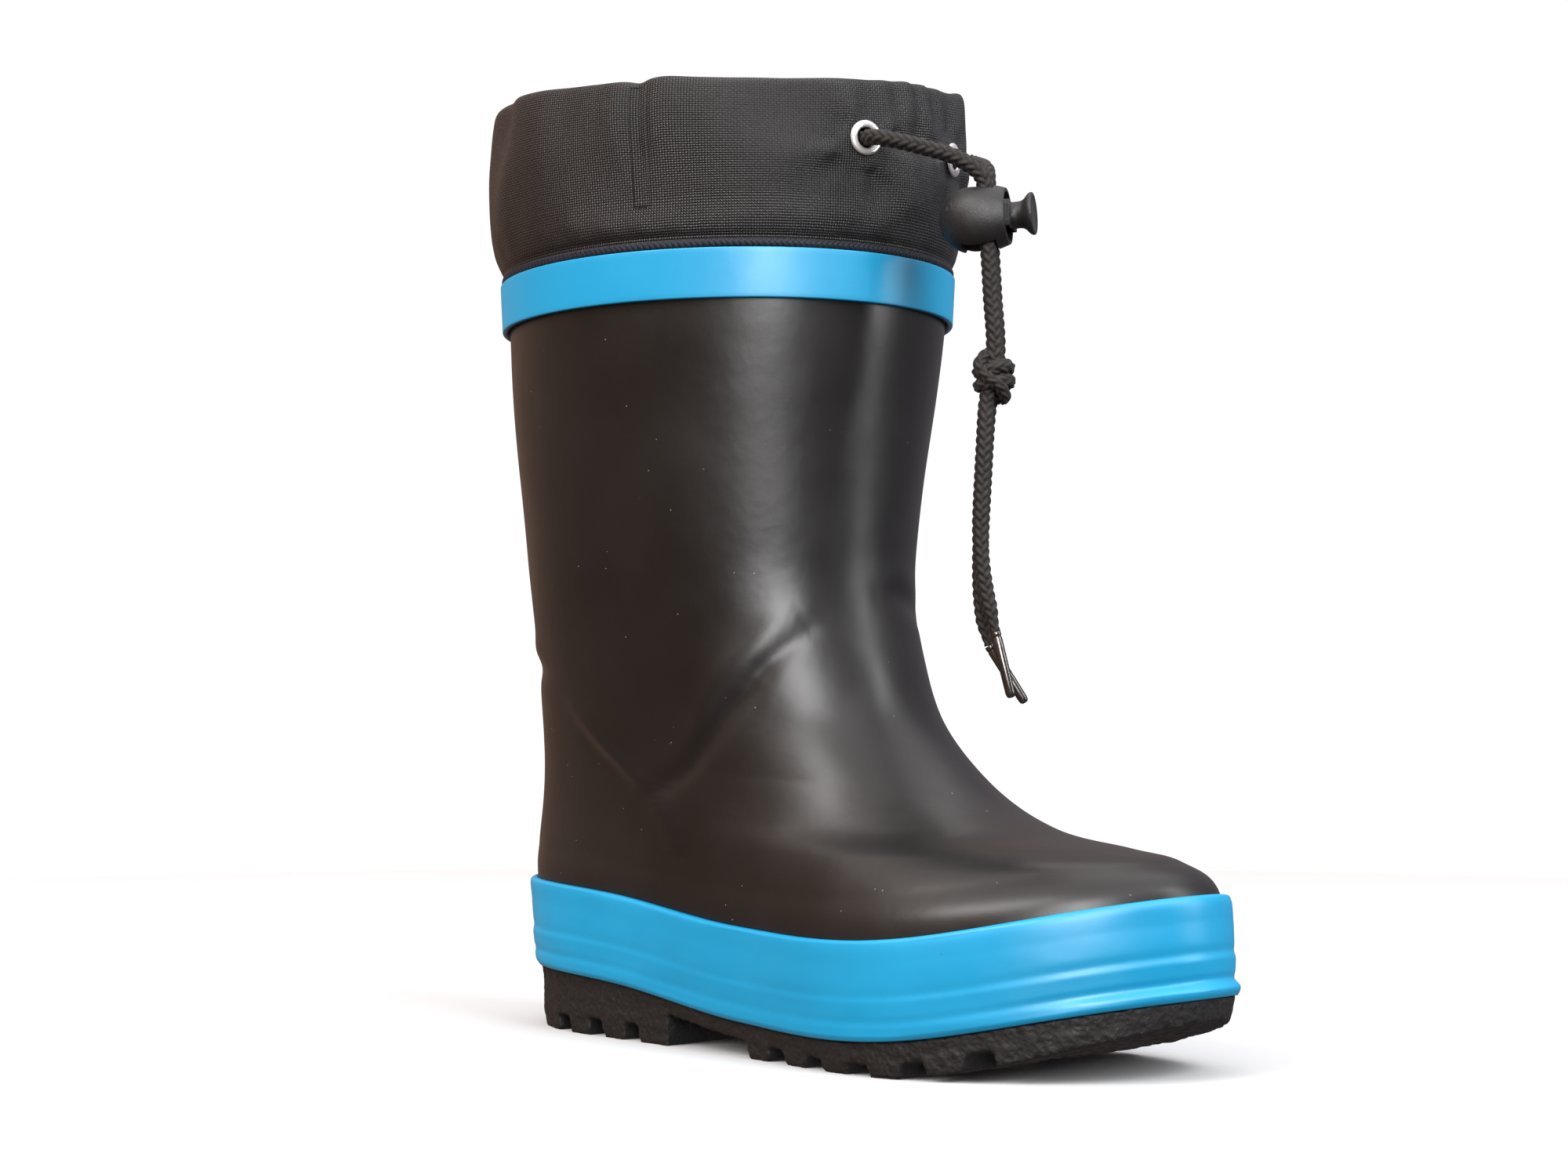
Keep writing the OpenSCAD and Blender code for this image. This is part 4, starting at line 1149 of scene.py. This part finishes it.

# %% [markdown]
# ### Cloth, cord and thread
# Oxford nylon is a plain weave of flat, shiny yarns. Two sine waves, along and across the
# cloth, cross to give the crown of each yarn, and the sign of their product says which yarn is
# on top. The pattern follows the cloth's UV map, which is in millimetres. The nylon's colour
# holds painted light: the upright yarns are painted lighter, a painted highlight, and the
# valleys between the crowns are painted near black, a painted shade. The cord and the edge tape
# have their pattern in the mesh, so their finish reads how high a point stands and paints the
# low places darker, a painted shade.

# %% Oxford nylon
def woven(tree, pitch_u, pitch_v):
    """Height of a plain weave, and 1 where the upright yarn is on top."""
    place = node(tree, "SeparateXYZ", {}, Vector=node(tree, "UVMap", {"uv_map": "cloth"}).outputs[0])
    u = math_of(tree, "SINE", math_of(tree, "MULTIPLY", place.outputs[0], math.pi / pitch_u))
    v = math_of(tree, "SINE", math_of(tree, "MULTIPLY", place.outputs[1], math.pi / pitch_v))
    both = math_of(tree, "MULTIPLY", u, v)
    high = math_of(tree, "POWER", math_of(tree, "ABSOLUTE", both), 0.6)
    return high, math_of(tree, "GREATER_THAN", both, 0.0)


nylon = new_finish("oxford_nylon", (0.01, 0.01, 0.011), 0.4, Specular_IOR_Level=0.55)
tree = nylon.node_tree
crown, upright = woven(tree, 0.68, 0.68)
# painted highlight: the upright yarns are painted lighter than the cross yarns
yarn = two_colours(tree, upright, (0.003, 0.003, 0.0035), (0.015, 0.015, 0.017))
painted_shade_in_valleys = math_of(tree, "SUBTRACT", 1.0, crown)
# painted shade: the valleys between the yarn crowns are painted near black
plug(nylon, Base_Color=two_colours(tree, painted_shade_in_valleys, yarn, (0.0012, 0.0012, 0.0014)),
     Roughness=spread(tree, upright, 0, 1, 0.48, 0.3), Normal=raise_by(tree, crown, 0.0002))

# %% Braid and overlock thread
def thread_finish(name, low, high, roughness, fibre):
    made = new_finish(name, high, roughness, Sheen_Weight=0.06, Sheen_Roughness=0.5, Specular_IOR_Level=0.3)
    tree = made.node_tree
    relief = node(tree, "Attribute", {"attribute_name": "relief"}).outputs["Fac"]
    # painted shade: the low places of the braid and the stitches are painted darker than their crests, a
    # little unevenly at random
    height_shade = math_of(tree, "MULTIPLY", relief, patches(tree, 700, 0.55, 1.1, 4))
    plug(made, Base_Color=two_colours(tree, height_shade, low, high),
         Normal=raise_by(tree, noise(tree, fibre), 0.00006))
    return made


cord_braid = thread_finish("braided_polyester", (0.0012, 0.001, 0.001), (0.03, 0.0245, 0.022), 0.7, 3200)
binding = thread_finish("overlock_thread", (0.0012, 0.0014, 0.003), (0.013, 0.0145, 0.026), 0.62, 3600)

# %% Knit and board
def knit_finish(name, low, high):
    made = new_finish(name, high, 0.85, Sheen_Weight=0.3, Sheen_Roughness=0.6)
    tree = made.node_tree
    loop, _ = woven(tree, 1.3, 1.0)
    # painted shade: the knit is painted darker between its loops than on them, a little unevenly at random
    height_shade = math_of(tree, "MULTIPLY", loop, patches(tree, 400, 0.6, 1))
    plug(made, Base_Color=two_colours(tree, height_shade, low, high), Normal=raise_by(tree, loop, 0.0003))
    return made


lining_knit = knit_finish("cotton_knit", (0.012, 0.012, 0.014), (0.05, 0.052, 0.058))
footbed_knit = knit_finish("footbed_knit", (0.012, 0.014, 0.018), (0.055, 0.06, 0.07))
board = new_finish("pressed_fibre_board", (0.27, 0.19, 0.11), 0.8)
tree = board.node_tree
plug(board, Base_Color=two_colours(tree, noise(tree, 500, 6), (0.2, 0.14, 0.08), (0.33, 0.24, 0.15)),
     Normal=raise_by(tree, noise(tree, 800, 4), 0.0001))

# %% [markdown]
# ### Metal and plastic
# The eyelets are bright plated metal, the tips are plated dark, and both have faint handling
# marks in their gloss. The lock is moulded from a plastic with a fine spark-eroded grain.

# %% Metal
def metal_finish(name, colour, low, high, metallic):
    made = new_finish(name, colour, (low + high) / 2, Metallic=metallic)
    tree = made.node_tree
    plug(made, Roughness=patches(tree, 1200, low, high, 5),
         Normal=raise_by(tree, noise(tree, 300, 2), 0.00001))
    return made


eyelet_metal = metal_finish("bright_plated_eyelet", (0.93, 0.92, 0.9), 0.2, 0.25, 0.6)
tip_metal = metal_finish("dark_plated_tip", (0.14, 0.13, 0.125), 0.16, 0.3, 1.0)
spring_steel = metal_finish("spring_wire", (0.5, 0.5, 0.52), 0.25, 0.4, 1.0)

# %% Plastic of the lock
lock_plastic = new_finish("grained_black_plastic", (0.017, 0.017, 0.018), 0.48, Specular_IOR_Level=0.5)
tree = lock_plastic.node_tree
grain = raise_by(tree, noise(tree, 2400, 3), 0.00006)
shade = two_colours(tree, noise(tree, 90, 5), (0.009, 0.009, 0.0095), (0.015, 0.015, 0.016))
plug(lock_plastic, Base_Color=shade, Roughness=patches(tree, 400, 0.42, 0.56, 5),
     Normal=raise_by(tree, noise(tree, 250, 2), 0.00006, grain))

finishes = {"leg_rubber": leg_rubber, "blue_rubber": blue_rubber, "outsole_rubber": outsole_rubber,
            "core_rubber": core_rubber, "board": board, "footbed_knit": footbed_knit,
            "lining_knit": lining_knit, "nylon": nylon, "binding": binding, "cord": cord_braid,
            "eyelet_metal": eyelet_metal, "tip_metal": tip_metal, "lock_plastic": lock_plastic,
            "spring_steel": spring_steel}
print("finishes:", len(finishes))

# %% [markdown]
# ## Hanging every piece on the model
# The measured model carries the motion: the boot stands still, the lock slides down the
# strands and its button presses in. So each piece says which body it rides on, which measured
# part it stands for, and which finish it has.

# %% Say what each piece is
dressed = [
    (outsole, "boot", "outsole_rubber", ["outsole"]), (rubber, "boot", "leg_rubber", ["upper"]),
    (foxing, "boot", "blue_rubber", ["foxing"]), (top_band, "boot", "blue_rubber", ["top_band"]),
    (cuff, "boot", "nylon", ["cuff"]), (side_seam, "boot", "nylon", ["cuff_seam"]),
    (tape, "boot", "binding", ["cuff_binding"]), (lining, "boot", "lining_knit", ["lining"]),
    (footbed, "boot", "footbed_knit", ["footbed"]), (cord_inside, "boot", "cord", ["cord_in_casing"]),
    (cord_right, "boot", "cord", ["strand_right", "tail_right"]),
    (cord_left, "boot", "cord", ["strand_left", "tail_left"]),
    (knot, "boot", "cord", ["knot"]), (knot_over, "boot", "cord", []),
    (tips["right"], "boot", "tip_metal", ["tip_right"]), (tips["left"], "boot", "tip_metal", ["tip_left"]),
    (spring, "cord_lock", "spring_steel", ["lock_spring"]),
    (housing, "cord_lock", "lock_plastic", ["lock_housing"]),
    (button, "button", "lock_plastic", ["lock_button"])]
dressed += [(piece, "boot", "eyelet_metal", [name]) for name, piece in rings_of_metal.items()]
for piece, body, finish, stands_for in dressed:
    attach(piece, body)
    piece.data.materials.clear()
    piece.data.materials.append(finishes[finish])
    if stands_for:
        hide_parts(*stands_for)
slot_of = {part["node"]: part["material_slot"] for part in frame["record"]["subparts"]}
for name, part in frame["nodes"].items():
    for place_for in part.material_slots:
        place_for.material = finishes[slot_of[name]]
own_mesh(spring)

# %% [markdown]
# ## Floor and light
# Black rubber shows only what it mirrors, so three white boxes are there just to be mirrored:
# a tall one near the camera for the glow down the leg, a wide one high on the left for the
# instep, and a narrow one at the side for the bright line near the edge. Two more boxes only
# light the colours. A wide sun overhead makes the floor evenly white, and the floor isn't
# mirrored at all, because its white would turn the rubber grey.

# %% Floor
FLOOR_RADIUS, FLOOR_SIDES = 0.85, 96
rim_turn = np.arange(FLOOR_SIDES) * 2 * np.pi / FLOOR_SIDES
rim_points = np.stack([np.cos(rim_turn), np.sin(rim_turn), 0 * rim_turn], 1) * FLOOR_RADIUS / MM
floor = new_piece("studio_floor", rim_points, [list(range(FLOOR_SIDES))])
floor.data.materials.append(new_finish("white_floor", (0.66, 0.682, 0.695), 0.8))
floor.visible_glossy = floor.visible_diffuse = False   # seen from the rubber there is only dim air below
floor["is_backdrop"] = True

# %% Light boxes
LIT_PLACE = np.array([0, 0.02, 0.12])
UP = np.array([0, 0, 1])


def softbox(name, turn, rise, far, wide, tall, watts, mirrored=True):
    """A white box of light; turn is degrees to the camera's right, rise is degrees up."""
    turn, rise = math.radians(turn), math.radians(rise)
    level = TO_CAMERA * math.cos(turn) + TO_RIGHT * math.sin(turn)
    away = level * math.cos(rise) + UP * math.sin(rise)
    light = bpy.data.lights.new(name, "AREA")
    light.shape, light.size, light.size_y, light.energy = "RECTANGLE", wide, tall, watts
    box = bpy.data.objects.new(name, light)
    box.location = LIT_PLACE + away * far
    box.rotation_euler = Vector(away).to_track_quat("Z", "Y").to_euler()
    box.visible_glossy, box.visible_diffuse = mirrored, not mirrored
    scene.collection.objects.link(box)


softbox("front_box", 7, 16, 1.5, 0.55, 1.0, 27)
softbox("high_left_box", -38, 46, 1.5, 1.0, 0.5, 13)
softbox("side_box", 76, 18, 1.3, 0.16, 1.0, 6)
softbox("left_fill", -55, 30, 1.5, 1.0, 1.0, 25, mirrored=False)
softbox("right_fill", 45, 30, 1.5, 1.0, 1.0, 25, mirrored=False)
overhead = bpy.data.objects.new("overhead", bpy.data.lights.new("overhead", "SUN"))
overhead.data.energy, overhead.data.angle = 2.2, math.radians(92)
toward_sun = Vector(TO_CAMERA * 0.12 + TO_RIGHT * 0.1 + UP)
overhead.rotation_euler = toward_sun.to_track_quat("Z", "Y").to_euler()
scene.collection.objects.link(overhead)

# %% The air round the boot
# white where the camera looks into it; as a light it is dimmer, most of all near the floor, and
# warm on the left and cool on the right
world = bpy.data.worlds.new("studio_air")
world.use_nodes = True
tree = world.node_tree
scene.world = world
look = node(tree, "TexCoord").outputs["Generated"]
toward = node(tree, "VectorMath", {"operation": "DOT_PRODUCT"}, _0=look, _1=tuple(TO_RIGHT)).outputs["Value"]
tint = two_colours(tree, spread(tree, toward, -0.5, 0.4, 0, 1), (0.6, 0.38, 0.28), (0.34, 0.32, 0.36))
high = node(tree, "SeparateXYZ", {}, Vector=look).outputs[2]
dim = node(tree, "Background", {}, Color=tint, Strength=spread(tree, high, -0.15, 0.65, 0.5, 1.0))
bright = node(tree, "Background", {}, Color=(1, 1, 1, 1), Strength=1.05)
by_camera = node(tree, "LightPath").outputs["Is Camera Ray"]
seen = node(tree, "MixShader", {}, _0=by_camera, _1=dim.outputs[0], _2=bright.outputs[0])
tree.links.new(seen.outputs[0], tree.nodes["World Output"].inputs["Surface"])

# %% Write the sizes and finish
seen_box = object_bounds()
as_list = lambda box: [[float(v) for v in corner] for corner in box]
{"cad": as_list(cad_box), "visual": as_list(seen_box)}
print("visual model:", [[round(float(v), 4) for v in corner] for corner in seen_box])
